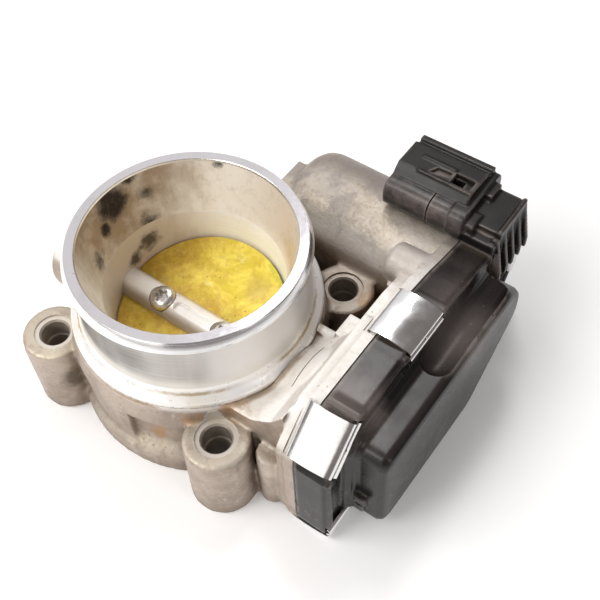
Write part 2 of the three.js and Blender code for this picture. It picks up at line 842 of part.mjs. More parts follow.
// Bent strip: back hook in the flange pocket, flat over the joint, rolled lip on the front.
function buildClip(place) {
  const t = CLIP_THICKNESS;
  const top = GAP + t;
  const back = CLIP_HOOK_X[1] - GAP;
  const lip = CLIP_SEAT_X + GAP;
  const profile = new THREE.Shape(
    [
      [back - t, -HOOK_DEPTH],
      [back, -HOOK_DEPTH],
      [back, GAP],
      [lip, GAP],
      [lip, -3.6],
      [lip + 0.5, -4.1],
      [lip + 1.3, -4.1],
      [lip + 1.6, -3.5],
      [lip + 1.5, -2.5],
      [lip + 0.9, -2.2],
      [lip + 1.3, -1.9],
      [lip + 1.4, -0.8],
      [lip + 0.9, 0.1],
      [lip + 0.3, top],
      [back - t, top],
    ].map(([x, z]) => new THREE.Vector2(x, z)),
  );
  const strip = new THREE.ExtrudeGeometry(profile, { depth: CLIP_WIDTH, bevelEnabled: false });
  strip.rotateX(Math.PI / 2).translate(0, CLIP_WIDTH / 2, 0);
  return solid(onEdge(strip, place));
}

// ---------- motor, board and pins ----------
const MOTOR_SCREW_RADIUS = 17;
const motorScrewAngles = [135, 225];
const motorScrewPlaces = motorScrewAngles.map((a) => [
  MOTOR_Y + MOTOR_SCREW_RADIUS * Math.cos(rad(a)),
  MOTOR_Z + MOTOR_SCREW_RADIUS * Math.sin(rad(a)),
]);
const stopScrewPlace = [-16.5, 10.5];

const pinPlaces = Array.from(
  { length: CONNECTOR_PINS },
  (_, i) => (CONNECTOR_Y[0] + CONNECTOR_Y[1]) / 2 + (i - (CONNECTOR_PINS - 1) / 2) * PIN_PITCH,
);

function buildMotorCan() {
  return turnedX(
    [
      [0, 3.6],
      [MOTOR_CAN_RADIUS - 1.5, 3.6],
      [MOTOR_CAN_RADIUS, 5.2],
      [MOTOR_CAN_RADIUS, 42.6],
      [MOTOR_CAN_RADIUS - 1.1, 42.6],
      [MOTOR_CAN_RADIUS - 1.1, 5.6],
      [MOTOR_CAN_RADIUS - 2, 4.8],
      [0, 4.8],
    ],
    36,
    MOTOR_Y,
    MOTOR_Z,
  );
}

function buildMotorMagnet(side) {
  const outer = MOTOR_CAN_RADIUS - 1.1 - GAP;
  const inner = outer - 2.6;
  const outline = [...arc(0, 0, outer, -68, 68, 12), ...arc(0, 0, inner, 68, -68, 12)];
  return prismX(
    outline.map(([y, z]) => [MOTOR_Y + side * y, MOTOR_Z + side * z]),
    [9, 33],
  );
}

function buildArmature() {
  const poles = [];
  for (let i = 0; i < 10; i++) {
    const a = i * 36;
    poles.push(...arc(0, 0, 9.1, a - 14, a + 14, 2), ...arc(0, 0, 6.2, a + 15, a + 21, 1));
  }
  return cut(prismX(poles, [11, 31]), rodX(MOTOR_SHAFT_RADIUS + GAP, [0, 60], 0, 0, 16));
}

function buildMountingPlate() {
  const ears = motorScrewAngles.map((angle) => {
    const arm = new THREE.BoxGeometry(0.8, MOTOR_SCREW_RADIUS, 6);
    arm.translate(45.3, MOTOR_SCREW_RADIUS / 2, 0).rotateX(rad(angle));
    return solid(arm.translate(0, MOTOR_Y, MOTOR_Z));
  });
  const tips = motorScrewPlaces.map(([y, z]) => rodX(3, [44.9, 45.7], y, z, 14));
  const disc = rodX(13.3, [44.9, 45.7], MOTOR_Y, MOTOR_Z, 24);
  const bearingSeat = tubeX(2, 4, [45.6, 46.6], MOTOR_Y, MOTOR_Z, 16);
  return cut(
    join(disc, ...ears, ...tips, bearingSeat),
    rodX(1.6, [40, 50], MOTOR_Y, MOTOR_Z, 16),
    ...motorScrewPlaces.map(([y, z]) => rodX(1.5 + GAP, [40, 50], y, z, 16)),
    ...bladePlaces.map(([y, z]) => box([40, 50], [y - 1.6, y + 1.6], [z - 0.9, z + 0.9])),
  );
}

const bladePlaces = [
  [MOTOR_Y + 8.4, MOTOR_Z + 4.4],
  [MOTOR_Y + 8.4, MOTOR_Z - 4.4],
];

function buildBrushHolder() {
  return cut(
    rodX(MOTOR_CAN_RADIUS - 1.1 - GAP, [39.6, 42], MOTOR_Y, MOTOR_Z, 36),
    rodX(5.6, [30, 50], MOTOR_Y, MOTOR_Z, 24),
    ...bladePlaces.map(([y, z]) => box([30, 50], [y - 1.3, y + 1.3], [z - 0.6, z + 0.6])),
    box([41, 50], [MOTOR_Y - 2.3, MOTOR_Y + 2.3], [MOTOR_Z - 14, MOTOR_Z - 4]),
    box([41, 50], [MOTOR_Y - 2.3, MOTOR_Y + 2.3], [MOTOR_Z + 4, MOTOR_Z + 14]),
  );
}

function buildBrush(z) {
  return box([41.3, 43.8], [MOTOR_Y - 2, MOTOR_Y + 2], [z - 2.9, z + 2.9]);
}

function buildTerminal([y, z]) {
  return box([37.6, 49.6], [y - 1, y + 1], [z - 0.3, z + 0.3]);
}

function headedScrewX(x, headRadius, headHeight, shankRadius, length, y, z) {
  return turnedX(
    [
      [0, x - length],
      [shankRadius, x - length],
      [shankRadius, x],
      [headRadius, x],
      [headRadius - 0.3, x + headHeight],
      [0, x + headHeight],
    ],
    18,
    y,
    z,
  );
}

const BOARD_X = [60.6, 61.8];

function buildBoard() {
  return prismX(rounded([[-10.4, 8.6], [28, 8.6], [28, 31.8], [-10.4, 31.8]], 2), BOARD_X);
}

function buildSensorChip() {
  const across = [SHAFT_Y - 2.2, SHAFT_Y + 2.2];
  return box([BOARD_X[0] - 0.6, BOARD_X[0] - GAP], across, [SHAFT_Z - 2.6, SHAFT_Z + 2.6]);
}

// Terminal strip: straight blade in the connector, then down inside the tower.
function buildConnectorPin(y) {
  const across = [y - PIN_WIDTH / 2, y + PIN_WIDTH / 2];
  const bladeEnd = 54.3;
  const blade = box(
    [30.5, bladeEnd],
    across,
    [PIN_ROW_Z - PIN_THICKNESS / 2, PIN_ROW_Z + PIN_THICKNESS / 2],
  );
  const drop = box([bladeEnd - PIN_THICKNESS, bladeEnd], across, [33, PIN_ROW_Z]);
  return blade.add(drop);
}

// ---------- assembly ----------
const look = {
  cast: { color: 0xb9b4aa, roughness: 0.55, metalness: 0.85 },
  steel: { color: 0xc9c6c0, roughness: 0.3, metalness: 0.95 },
  darkSteel: { color: 0x77777a, roughness: 0.45, metalness: 0.9 },
  zinc: { color: 0xb8a544, roughness: 0.4, metalness: 0.7 },
  blackPlastic: { color: 0x1c1b1d, roughness: 0.5, metalness: 0 },
  whitePlastic: { color: 0xe2ddd0, roughness: 0.5, metalness: 0 },
  brass: { color: 0xc2a04f, roughness: 0.35, metalness: 0.9 },
  copper: { color: 0xb8713f, roughness: 0.4, metalness: 0.9 },
  ferrite: { color: 0x3a3a3c, roughness: 0.8, metalness: 0.1 },
  rubber: { color: 0x20242a, roughness: 0.9, metalness: 0 },
  board: { color: 0x1f6b3c, roughness: 0.6, metalness: 0 },
};

function part(name, shape, finish, group) {
  const mesh = new THREE.Mesh(geometryOf(shape), new THREE.MeshStandardMaterial(finish));
  mesh.name = name;
  group.add(mesh);
  return mesh;
}

function groupAt(y, z, parent) {
  const group = new THREE.Group();
  group.position.set(0, y, z);
  parent.add(group);
  return group;
}

const throttleBody = new THREE.Group();

part("housing", buildHousing(), look.cast, throttleBody);
part("gear_cover", buildCover(), look.blackPlastic, throttleBody);
part("cover_gasket", buildGasket(), look.rubber, throttleBody);
clipPlaces.forEach((place, i) =>
  part(`cover_clip_${i + 1}`, buildClip(place), look.steel, throttleBody),
);

// Shaft bearings, seal and end plug stay in the housing.
part("needle_bearing",
  tubeX(SHAFT_RADIUS + GAP, NEEDLE_RADIUS, NEEDLE_X, SHAFT_Y, SHAFT_Z, 28),
  look.darkSteel, throttleBody);
part("shaft_end_plug", buildEndPlug(), look.steel, throttleBody);
part("shaft_seal",
  tubeX(SHAFT_RADIUS + 0.2, BEARING_RADIUS - 2 - GAP, [23.9, 26.3], SHAFT_Y, SHAFT_Z, 28),
  look.rubber, throttleBody);
part("bearing_outer_ring",
  tubeX(7.9, BEARING_RADIUS, BEARING_X, SHAFT_Y, SHAFT_Z, 36),
  look.steel, throttleBody);
part("bearing_balls", buildBallSet(), look.steel, throttleBody);

// Throttle valve: turns around the shaft axis.
const valve = groupAt(SHAFT_Y, SHAFT_Z, throttleBody);
const tilted = new THREE.Group();
tilted.rotation.x = rad(REST_TILT);
valve.add(tilted);
part("throttle_shaft", buildThrottleShaft(), look.steel, tilted);
part("throttle_plate", buildThrottlePlate(), look.zinc, tilted);
[-1, 1].forEach((side, i) => {
  const screw = part(`plate_screw_${i + 1}`, buildPlateScrew(), look.steel, tilted);
  screw.position.x = side * PLATE_SCREW_X;
});
part("bearing_inner_ring", tubeX(4 + GAP, 5.7, [28.2, 33.8], 0, 0, 32), look.steel, valve);
part("sector_gear", buildSectorGear(), look.whitePlastic, valve);
part("shaft_lever", tubeX(3.6 + GAP, 5, [47.6, 52.8], 0, 0, 28), look.darkSteel, valve);
part("position_magnet", tubeX(4.4 + GAP, 6.6, [55.9, 59.4], 0, 0, 28), look.ferrite, valve);
part("return_spring", buildReturnSpring(), look.darkSteel, throttleBody);
part("spring_guide", buildSpringGuide(), look.whitePlastic, throttleBody);

// Gear drive.
const idler = groupAt(IDLER_Y, IDLER_Z, throttleBody);
part("intermediate_gear", buildIntermediateGear(), look.whitePlastic, idler);
part("gear_pin", rodX(GEAR_PIN_RADIUS, [41.7, 54.6], IDLER_Y, IDLER_Z, 24), look.steel, throttleBody);
part("closed_stop_screw",
  headedScrewX(45, 3, 1.6, 2, 2.7, ...stopScrewPlace), look.darkSteel, throttleBody);

// Motor.
part("motor_can", buildMotorCan(), look.darkSteel, throttleBody);
part("motor_wave_washer", buildWaveWasher(), look.steel, throttleBody);
[1, -1].forEach((side, i) =>
  part(`motor_magnet_${i + 1}`, buildMotorMagnet(side), look.ferrite, throttleBody),
);
part("motor_rear_bush",
  tubeX(MOTOR_SHAFT_RADIUS + GAP, 3, [5.1, 8.4], MOTOR_Y, MOTOR_Z, 20),
  look.brass, throttleBody);
part("brush_holder", buildBrushHolder(), look.blackPlastic, throttleBody);
[-7.5, 7.5].forEach((offset, i) =>
  part(`motor_brush_${i + 1}`, buildBrush(MOTOR_Z + offset), look.ferrite, throttleBody),
);
part("motor_mounting_plate", buildMountingPlate(), look.steel, throttleBody);
motorScrewPlaces.forEach(([y, z], i) =>
  part(`motor_screw_${i + 1}`, headedScrewX(46, 2.6, 1.2, 1.5, 4.2, y, z), look.darkSteel, throttleBody),
);
bladePlaces.forEach((place, i) =>
  part(`motor_terminal_${i + 1}`, buildTerminal(place), look.brass, throttleBody),
);

const rotor = groupAt(MOTOR_Y, MOTOR_Z, throttleBody);
part("motor_shaft", rodX(MOTOR_SHAFT_RADIUS, [5.2, 52], 0, 0, 20), look.steel, rotor);
part("motor_armature", buildArmature(), look.copper, rotor);
part("motor_commutator", tubeX(MOTOR_SHAFT_RADIUS + GAP, 4.3, [34, 43.6], 0, 0, 24), look.copper, rotor);
part("motor_pinion", buildPinion(), look.brass, rotor);

// Sensor board and connector terminals in the cover.
part("sensor_board", buildBoard(), look.board, throttleBody);
part("sensor_chip", buildSensorChip(), look.blackPlastic, throttleBody);
pinPlaces.forEach((y, i) =>
  part(`connector_pin_${i + 1}`, buildConnectorPin(y), look.brass, throttleBody),
);

export default throttleBody;
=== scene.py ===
"""Electronic throttle body: detailed outer shapes, materials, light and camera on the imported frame."""
import math

import bmesh
import bpy
import numpy as np
from mathutils import Matrix, Vector


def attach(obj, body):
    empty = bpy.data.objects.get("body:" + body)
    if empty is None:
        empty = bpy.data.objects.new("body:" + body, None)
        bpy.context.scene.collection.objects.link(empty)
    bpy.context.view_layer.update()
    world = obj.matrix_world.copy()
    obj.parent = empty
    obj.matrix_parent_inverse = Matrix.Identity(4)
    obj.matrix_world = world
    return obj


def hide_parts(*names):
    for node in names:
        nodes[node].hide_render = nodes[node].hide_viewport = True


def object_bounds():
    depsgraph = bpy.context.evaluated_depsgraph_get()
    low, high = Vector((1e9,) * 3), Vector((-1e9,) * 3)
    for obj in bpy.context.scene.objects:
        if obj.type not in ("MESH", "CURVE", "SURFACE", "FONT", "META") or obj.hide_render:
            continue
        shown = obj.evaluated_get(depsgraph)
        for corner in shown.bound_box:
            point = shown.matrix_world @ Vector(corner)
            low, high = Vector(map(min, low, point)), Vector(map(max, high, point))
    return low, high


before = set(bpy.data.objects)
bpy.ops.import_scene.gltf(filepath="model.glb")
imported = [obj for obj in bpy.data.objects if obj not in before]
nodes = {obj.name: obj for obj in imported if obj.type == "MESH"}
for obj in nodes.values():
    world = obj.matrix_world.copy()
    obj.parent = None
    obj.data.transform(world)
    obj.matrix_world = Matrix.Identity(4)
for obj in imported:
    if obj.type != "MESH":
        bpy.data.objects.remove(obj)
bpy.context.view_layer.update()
scene = bpy.context.scene
MM = 0.001


# ---------- camera ----------
FOCAL_IN_FRAME_WIDTHS = 1.5374667
SENSOR_WIDTH = 36
CAMERA_AT = (106.405, -93.628, 217.941)


def make_camera():
    right = Vector((0.8114, 0.5837, -0.03053))
    down = Vector((0.45843, -0.66794, -0.58626))
    forward = Vector((-0.36259, 0.46169, -0.80955))
    turn = Matrix((right, -down, -forward)).transposed().to_4x4()
    data = bpy.data.cameras.new("camera")
    data.sensor_width = SENSOR_WIDTH
    data.lens = FOCAL_IN_FRAME_WIDTHS * SENSOR_WIDTH
    data.clip_start = 0.01
    camera = bpy.data.objects.new("camera", data)
    camera.matrix_world = Matrix.Translation(Vector(CAMERA_AT) * MM) @ turn
    scene.collection.objects.link(camera)
    scene.camera = camera


make_camera()


# ---------- shapes in millimetres: each is (vertices, faces) ----------
def lathe(profile, segments=96, axis="Z", at=(0, 0), closed=False):
    verts, faces, rings = [], [], []
    for r, h in profile:
        ring = []
        count = 1 if r < 1e-6 else segments
        for i in range(count):
            a = 2 * math.pi * i / segments
            u, v = r * math.cos(a) + at[0], r * math.sin(a) + at[1]
            verts.append((u, v, h) if axis == "Z" else (h, u, v))
            ring.append(len(verts) - 1)
        rings.append(ring)
    pairs = list(zip(rings, rings[1:]))
    if closed:
        pairs.append((rings[-1], rings[0]))
    for a, b in pairs:
        for i in range(segments):
            j = (i + 1) % segments
            if len(a) == 1 and len(b) == 1:
                continue
            if len(a) == 1:
                faces.append((a[0], b[j], b[i]))
            elif len(b) == 1:
                faces.append((a[i], a[j], b[0]))
            else:
                faces.append((a[i], a[j], b[j], b[i]))
    return verts, faces


def rod(r, h, axis, at, segments=48):
    return lathe([(0, h[0]), (r, h[0]), (r, h[1]), (0, h[1])], segments, axis, at)


def box(x, y, z):
    verts = [(a, b, c) for a in x for b in y for c in z]
    faces = [(0, 1, 3, 2), (4, 6, 7, 5), (0, 4, 5, 1), (2, 3, 7, 6), (0, 2, 6, 4), (1, 5, 7, 3)]
    return verts, faces


def prism(outline, span, axis="X"):
    """Extrudes a closed outline: (y, z) along X, (x, z) along Y, or (x, y) along Z."""
    place = {
        "X": lambda a, b, t: (t, a, b),
        "Y": lambda a, b, t: (a, t, b),
        "Z": lambda a, b, t: (a, b, t),
    }[axis]
    n = len(outline)
    verts = [place(a, b, t) for t in span for a, b in outline]
    faces = [tuple(range(n)), tuple(range(2 * n - 1, n - 1, -1))]
    faces += [(i, i + n, (i + 1) % n + n, (i + 1) % n) for i in range(n)]
    return verts, faces


def capsule_y(x, z, r, y0, y1, segments=40, rings=10):
    profile = [(r * math.cos(a), y0 - r * math.sin(a)) for a in np.linspace(math.pi / 2, 0, rings)]
    profile += [(r * math.cos(a), y1 + r * math.sin(a)) for a in np.linspace(0, math.pi / 2, rings)]
    verts, faces = lathe([(max(p, 0), h) for p, h in profile], segments)
    return [(x + u, h, z + v) for u, v, h in verts], faces


def turned(shape, matrix):
    return [tuple(matrix @ Vector(v)) for v in shape[0]], shape[1]


def arc(cy, cz, r, start, end, steps):
    return [
        (cy + r * math.cos(math.radians(start + (end - start) * i / steps)),
         cz + r * math.sin(math.radians(start + (end - start) * i / steps)))
        for i in range(steps + 1)
    ]


def inset(outline, distance):
    result = []
    for i, p in enumerate(outline):
        p, a, b = Vector(p), Vector(outline[i - 1]), Vector(outline[(i + 1) % len(outline)])
        d1, d2 = (p - a).normalized(), (b - p).normalized()
        n1, n2 = Vector((-d1.y, d1.x)), Vector((-d2.y, d2.x))
        mid = (n1 + n2).normalized()
        result.append(tuple(p + mid * (distance / max(0.5, mid.dot(n1)))))
    return result


def rounded(outline, radius, steps=6):
    result = []
    for i, p in enumerate(outline):
        p, a, b = Vector(p), Vector(outline[i - 1]), Vector(outline[(i + 1) % len(outline)])
        into, out = a - p, b - p
        if into.angle(out) > math.radians(157):
            result.append(tuple(p))
            continue
        reach = min(radius, into.length * 0.45, out.length * 0.45)
        s, e = p + into.normalized() * reach, p + out.normalized() * reach
        for k in range(steps + 1):
            t = k / steps
            result.append(tuple(s * (1 - t) ** 2 + p * 2 * t * (1 - t) + e * t * t))
    return result


# ---------- mesh work ----------
def working(shapes, name="work"):
    """One object from several closed shapes, still in millimetres."""
    verts, faces = [], []
    for v, f in shapes:
        base = len(verts)
        verts.extend(v)
        faces.extend(tuple(i + base for i in face) for face in f)
    mesh = bpy.data.meshes.new(name)
    mesh.from_pydata(verts, [], faces)
    bm = bmesh.new()
    bm.from_mesh(mesh)
    bmesh.ops.recalc_face_normals(bm, faces=bm.faces)
    bm.to_mesh(mesh)
    bm.free()
    obj = bpy.data.objects.new(name, mesh)
    scene.collection.objects.link(obj)
    return obj


def apply(obj, kind, **settings):
    modifier = obj.modifiers.new(kind, kind)
    for key, value in settings.items():
        setattr(modifier, key, value)
    graph = bpy.context.evaluated_depsgraph_get()
    mesh = bpy.data.meshes.new_from_object(obj.evaluated_get(graph), depsgraph=graph)
    obj.modifiers.clear()
    old = obj.data
    obj.data = mesh
    bpy.data.meshes.remove(old)
    return obj


def discard(obj):
    mesh = obj.data
    bpy.data.objects.remove(obj)
    bpy.data.meshes.remove(mesh)


def combine(obj, other, operation):
    apply(obj, "BOOLEAN", object=other, operation=operation, solver="MANIFOLD")
    discard(other)
    return obj


def carved(obj, tools):
    """Takes each closed shape away from the object, one after the other."""
    for tool in tools:
        combine(obj, working([tool]), "DIFFERENCE")


def moulded(shapes, voxel, smooth):
    """A union of the shapes whose edges and corners are softened like a casting."""
    obj = working(shapes)
    apply(obj, "REMESH", mode="VOXEL", voxel_size=voxel, adaptivity=0)
    return apply(obj, "SMOOTH", factor=0.5, iterations=smooth)


def finished(obj, name, body, materials, pick=None, sharp=32):
    """Turns a working object into a named piece in metres, with materials picked per face."""
    mesh = obj.data
    obj.name = name
    mesh.name = name
    mesh.materials.clear()
    for material in materials:
        mesh.materials.append(material)
    count = len(mesh.polygons)
    if pick:
        centre = np.empty(count * 3)
        normal = np.empty(count * 3)
        mesh.polygons.foreach_get("center", centre)
        mesh.polygons.foreach_get("normal", normal)
        index = pick(centre.reshape(-1, 3), normal.reshape(-1, 3)).astype(np.int32)
    else:
        index = np.zeros(count, np.int32)
    mesh.polygons.foreach_set("material_index", index)
    mesh.transform(Matrix.Scale(MM, 4))
    mesh.shade_smooth()
    mesh.set_sharp_from_angle(angle=math.radians(sharp))
    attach(obj, body)
    return obj


# ---------- materials ----------
class Nodes:
    """Short spellings for the nodes that the materials below use."""

    def __init__(self, name):
        self.material = bpy.data.materials.new(name)
        self.material.use_nodes = True
        self.tree = self.material.node_tree
        self.shader = self.tree.nodes["Principled BSDF"]
        self.place = self.add("ShaderNodeTexCoord").outputs["Object"]

    def add(self, kind, values=None, **settings):
        node = self.tree.nodes.new(kind)
        for key, value in settings.items():
            setattr(node, key, value)
        for key, value in (values or {}).items():
            self.put(node.inputs[key], value)
        return node

    def link(self, source, target):
        self.tree.links.new(source, target)

    def put(self, target, value):
        if hasattr(value, "is_output"):
            self.link(value, target)
        else:
            target.default_value = value

    def math(self, operation, a, b=0.0, c=0.0):
        node = self.add("ShaderNodeMath", operation=operation)
        for socket, value in zip(node.inputs, (a, b, c)):
            self.put(socket, value)
        return node.outputs[0]

    def times(self, a, b):
        return self.math("MULTIPLY", a, b)

    def minus(self, a, b):
        return self.math("SUBTRACT", a, b)

    def plus(self, a, b):
        return self.math("ADD", a, b)

    def ramp(self, value, slope, start):
        """value * slope + start"""
        return self.math("MULTIPLY_ADD", value, slope, start)

    def stretch(self, scale):
        return self.add("ShaderNodeMapping", {"Vector": self.place, "Scale": scale}).outputs[0]

    def lines(self, along, scale, detail):
        """Noise that changes along one value only, for turning marks."""
        values = {"Scale": scale, "Detail": detail, "W": along}
        return self.add("ShaderNodeTexNoise", values, noise_dimensions="1D").outputs[0]

    def specks(self, scale, low, high, patches, start, end, most=1, vector=None):
        """Small round marks that show only in patches."""
        marks = self.step(self.cells(scale, "F1", vector), low, high, 1, 0)
        return self.times(marks, self.step(self.noise(patches, 3), start, end, 0, most))

    def upward(self):
        """How far the surface faces up: the Z of its normal."""
        normal = self.add("ShaderNodeNewGeometry").outputs["Normal"]
        return self.add("ShaderNodeSeparateXYZ", {0: normal}).outputs["Z"]

    def strongest(self, marks):
        """The largest of several ragged spots."""
        spots = [self.spot(*mark) for mark in marks]
        total = spots[0]
        for one in spots[1:]:
            total = self.math("MAXIMUM", total, one)
        return total

    def over(self, color, amount, mask, tint):
        """Lays a tint over the colour where the mask is, at most by the amount."""
        return self.mix(self.times(mask, amount), color, tint)

    def noise(self, scale, detail=4, rough=0.55, vector=None, distortion=0.0):
        values = {"Scale": scale, "Detail": detail, "Roughness": rough, "Distortion": distortion}
        return self.add("ShaderNodeTexNoise", values | {"Vector": vector or self.place}).outputs[0]

    def cells(self, scale, feature="F1", vector=None):
        values = {"Scale": scale, "Vector": vector or self.place}
        return self.add("ShaderNodeTexVoronoi", values, feature=feature).outputs["Distance"]

    def step(self, value, low, high, to_low=0.0, to_high=1.0):
        values = {"Value": value, "From Min": low, "From Max": high, "To Min": to_low, "To Max": to_high}
        return self.add("ShaderNodeMapRange", values, interpolation_type="SMOOTHSTEP").outputs["Result"]

    def mix(self, factor, a, b):
        node = self.add("ShaderNodeMix", data_type="RGBA")
        for socket, value in ((node.inputs[0], factor), (node.inputs[6], a), (node.inputs[7], b)):
            self.put(socket, (*value, 1) if isinstance(value, tuple) else value)
        return node.outputs[2]

    def axes(self):
        return self.add("ShaderNodeSeparateXYZ", {0: self.place}).outputs

    def spot(self, centre, radius, wobble=0.0, soft=0.5):
        """1 inside a ragged ball around a point in metres, 0 outside."""
        values = {0: self.place, 1: centre}
        distance = self.add("ShaderNodeVectorMath", values, operation="DISTANCE").outputs["Value"]
        if wobble:
            ragged = self.noise(350, 5, 0.65)
            distance = self.ramp(self.math("SUBTRACT", ragged, 0.5), wobble, distance)
        return self.step(distance, radius * (1 - soft), radius, 1, 0)

    def cavity(self, distance=0.006, samples=8, inside=False):
        values = {"Distance": distance}
        return self.add("ShaderNodeAmbientOcclusion", values, samples=samples, inside=inside).outputs["AO"]

    def bump(self, height, strength, distance=0.0002, normal=None):
        values = {"Strength": strength, "Distance": distance, "Height": height}
        if normal:
            values["Normal"] = normal
        return self.add("ShaderNodeBump", values).outputs[0]

    def done(self, color, rough, metal, normal=None, **fixed):
        self.put(self.shader.inputs["Base Color"], (*color, 1) if isinstance(color, tuple) else color)
        self.put(self.shader.inputs["Roughness"], rough)
        self.put(self.shader.inputs["Metallic"], metal)
        if normal:
            self.link(normal, self.shader.inputs["Normal"])
        for key, value in fixed.items():
            self.shader.inputs[key.replace("_", " ")].default_value = value
        return self.material


def cast_metal():
    """Weathered, mottled casting with painted light: upward faces painted pale and the high tops near white,
    the sides painted darker brown-grey as painted shade, and the hollows darker with grime and painted
    shade.
    """
    n = Nodes("cast_aluminium_skin")
    big = n.noise(60, 6, 0.65)
    blot = n.noise(230, 7, 0.75)
    fine = n.noise(900, 6, 0.7)
    x, y, z = n.axes()
    barrel = n.step(y, 0.034, 0.040)
    # painted light: the colour follows the normal, pale on upward faces and darker brown-grey on the sides
    # as painted shade
    facing = n.step(n.ramp(blot, 0.3, n.upward()), 0.35, 0.95)
    # the high upward faces get a near-white painted highlight; the same mask calms the blotches and lowers
    # the metallic there
    high = n.times(n.step(z, 0.0262, 0.0278), n.minus(1, barrel))
    lit_top = n.times(high, facing)
    side = n.mix(n.step(big, 0.38, 0.62), (0.36, 0.29, 0.24), (0.51, 0.43, 0.36))
    low_top = n.mix(n.step(big, 0.38, 0.62), (0.50, 0.45, 0.385), (0.57, 0.50, 0.395))
    high_top = n.mix(n.step(big, 0.38, 0.62), (1.0, 0.975, 0.94), (0.95, 0.91, 0.84))
    color = n.mix(facing, side, n.mix(high, low_top, high_top))
    calm = n.ramp(lit_top, -0.7, 1)
    color = n.mix(n.times(calm, n.step(blot, 0.50, 0.68, 0, 0.6)), color, (0.34, 0.27, 0.22))
    color = n.mix(n.step(blot, 0.28, 0.44, 0.4, 0), color, (0.84, 0.80, 0.74))
    color = n.mix(n.times(calm, n.step(fine, 0.56, 0.72, 0, 0.55)), color, (0.28, 0.22, 0.18))
    # cooler, darker blotches on the motor barrel
    cool = n.times(barrel, n.step(n.noise(130, 6, 0.7), 0.44, 0.62, 0.15, 0.75))
    color = n.mix(cool, color, (0.30, 0.26, 0.24))
    # painted shade: the far (+Y) side of the motor barrel is painted darker
    far = n.step(n.ramp(big, 0.01, y), 0.050, 0.060, 0, 0.7)
    color = n.mix(far, color, (0.36, 0.31, 0.28))
    color = n.mix(n.spot((0.039, 0.035, 0.037), 0.013, 0.006, 0.6), color, (0.52, 0.47, 0.42))
    color = n.over(color, 0.7, n.spot((0.034, -0.021, 0.018), 0.011, 0.008, 0.8), (0.84, 0.77, 0.67))
    color = n.over(color, 0.35, n.spot((0.0266, 0.0266, 0.024), 0.010, 0.003, 0.3), (0.40, 0.355, 0.315))
    strip = n.times(lit_top, n.step(x, 0.0425, 0.0437, 0, 0.4))
    color = n.mix(strip, color, (0.55, 0.515, 0.47))
    # painted light: a pale patch lifts the shaded low front of the motor barrel
    color = n.over(color, 0.75, n.spot((0.021, 0.036, 0.020), 0.014, 0.006, 0.8), (0.74, 0.64, 0.55))
    # painted shadow: a thin brown line where the roof meets the foot of the neck
    reach = n.math("SQRT", n.plus(n.times(x, x), n.times(y, y)))
    reach = n.ramp(n.minus(blot, 0.5), 0.0016, reach)
    crease_shadow = n.times(n.step(reach, 0.0316, 0.0321), n.step(reach, 0.0328, 0.0340, 1, 0))
    crease_shadow = n.times(n.times(crease_shadow, n.step(z, 0.0275, 0.0280)), n.step(big, 0.40, 0.60, 0.25, 0.85))
    color = n.mix(crease_shadow, color, (0.36, 0.25, 0.15))
    # darker brown blotches towards the bottom of the casting
    low = n.times(n.step(z, 0.002, 0.017, 1, 0), n.step(blot, 0.40, 0.62))
    color = n.over(color, 0.4, low, (0.27, 0.215, 0.17))
    # brown-orange oil residue around the far bolt boss, in the pocket and beside the near bosses
    marks = (
        ((0.034, 0.019, 0.019), 0.008, 0.010, 0.6), ((0.037, 0.028, 0.020), 0.009, 0.012, 0.6),
        ((0.0096, -0.0294, 0.0122), 0.0042, 0.006, 0.7), ((0.0184, -0.0250, 0.0245), 0.0040, 0.006, 0.6),
        ((0.0270, -0.0200, 0.0270), 0.0055, 0.006, 0.6), ((0.0440, -0.0120, 0.0330), 0.0030, 0.004, 0.6),
    )
    stain = n.times(n.strongest(marks), n.step(n.noise(190, 6, 0.7), 0.36, 0.60))
    color = n.over(color, 0.7, stain, (0.47, 0.26, 0.10))
    # painted shade: dark spots in the recess behind the wall beside the roof and at the shaded left end of
    # the pocket
    soot_and_shade = n.math("MAXIMUM", n.spot((0.030, 0.012, 0.02), 0.009, 0.010),
                  n.spot((-0.0190, -0.0300, 0.0135), 0.0055, 0.007, 0.7))
    soot_and_shade = n.times(soot_and_shade, n.step(n.noise(300, 5, 0.7), 0.25, 0.55, 0.5, 1))
    color = n.over(color, 0.85, soot_and_shade, (0.085, 0.06, 0.035))
    # darker brown in the hollows, found by occlusion: grime with painted shade, less on the high tops and
    # the barrel
    hollow = n.step(n.cavity(0.009), 0.40, 0.90, 1, 0)
    dirt = n.times(hollow, n.step(n.noise(240, 5, 0.7), 0.3, 0.6, 0.4, 1))
    dirt = n.times(dirt, n.ramp(n.math("MAXIMUM", lit_top, barrel), -0.85, 1))
    color = n.over(color, 0.85, dirt, (0.15, 0.095, 0.055))
    specks = n.specks(420, 0.10, 0.16, 90, 0.5, 0.62)
    color = n.over(color, 0.6, specks, (0.30, 0.20, 0.12))
    rough = n.step(fine, 0.3, 0.75, 0.42, 0.62)
    normal = n.bump(n.noise(1500, 4, 0.7), 0.4, 0.00014, n.bump(n.noise(260, 5, 0.65), 0.45, 0.0005))
    metal = n.minus(n.ramp(lit_top, -0.3, 0.5), n.times(dirt, 0.2))
    return n.done(color, rough, metal, normal)


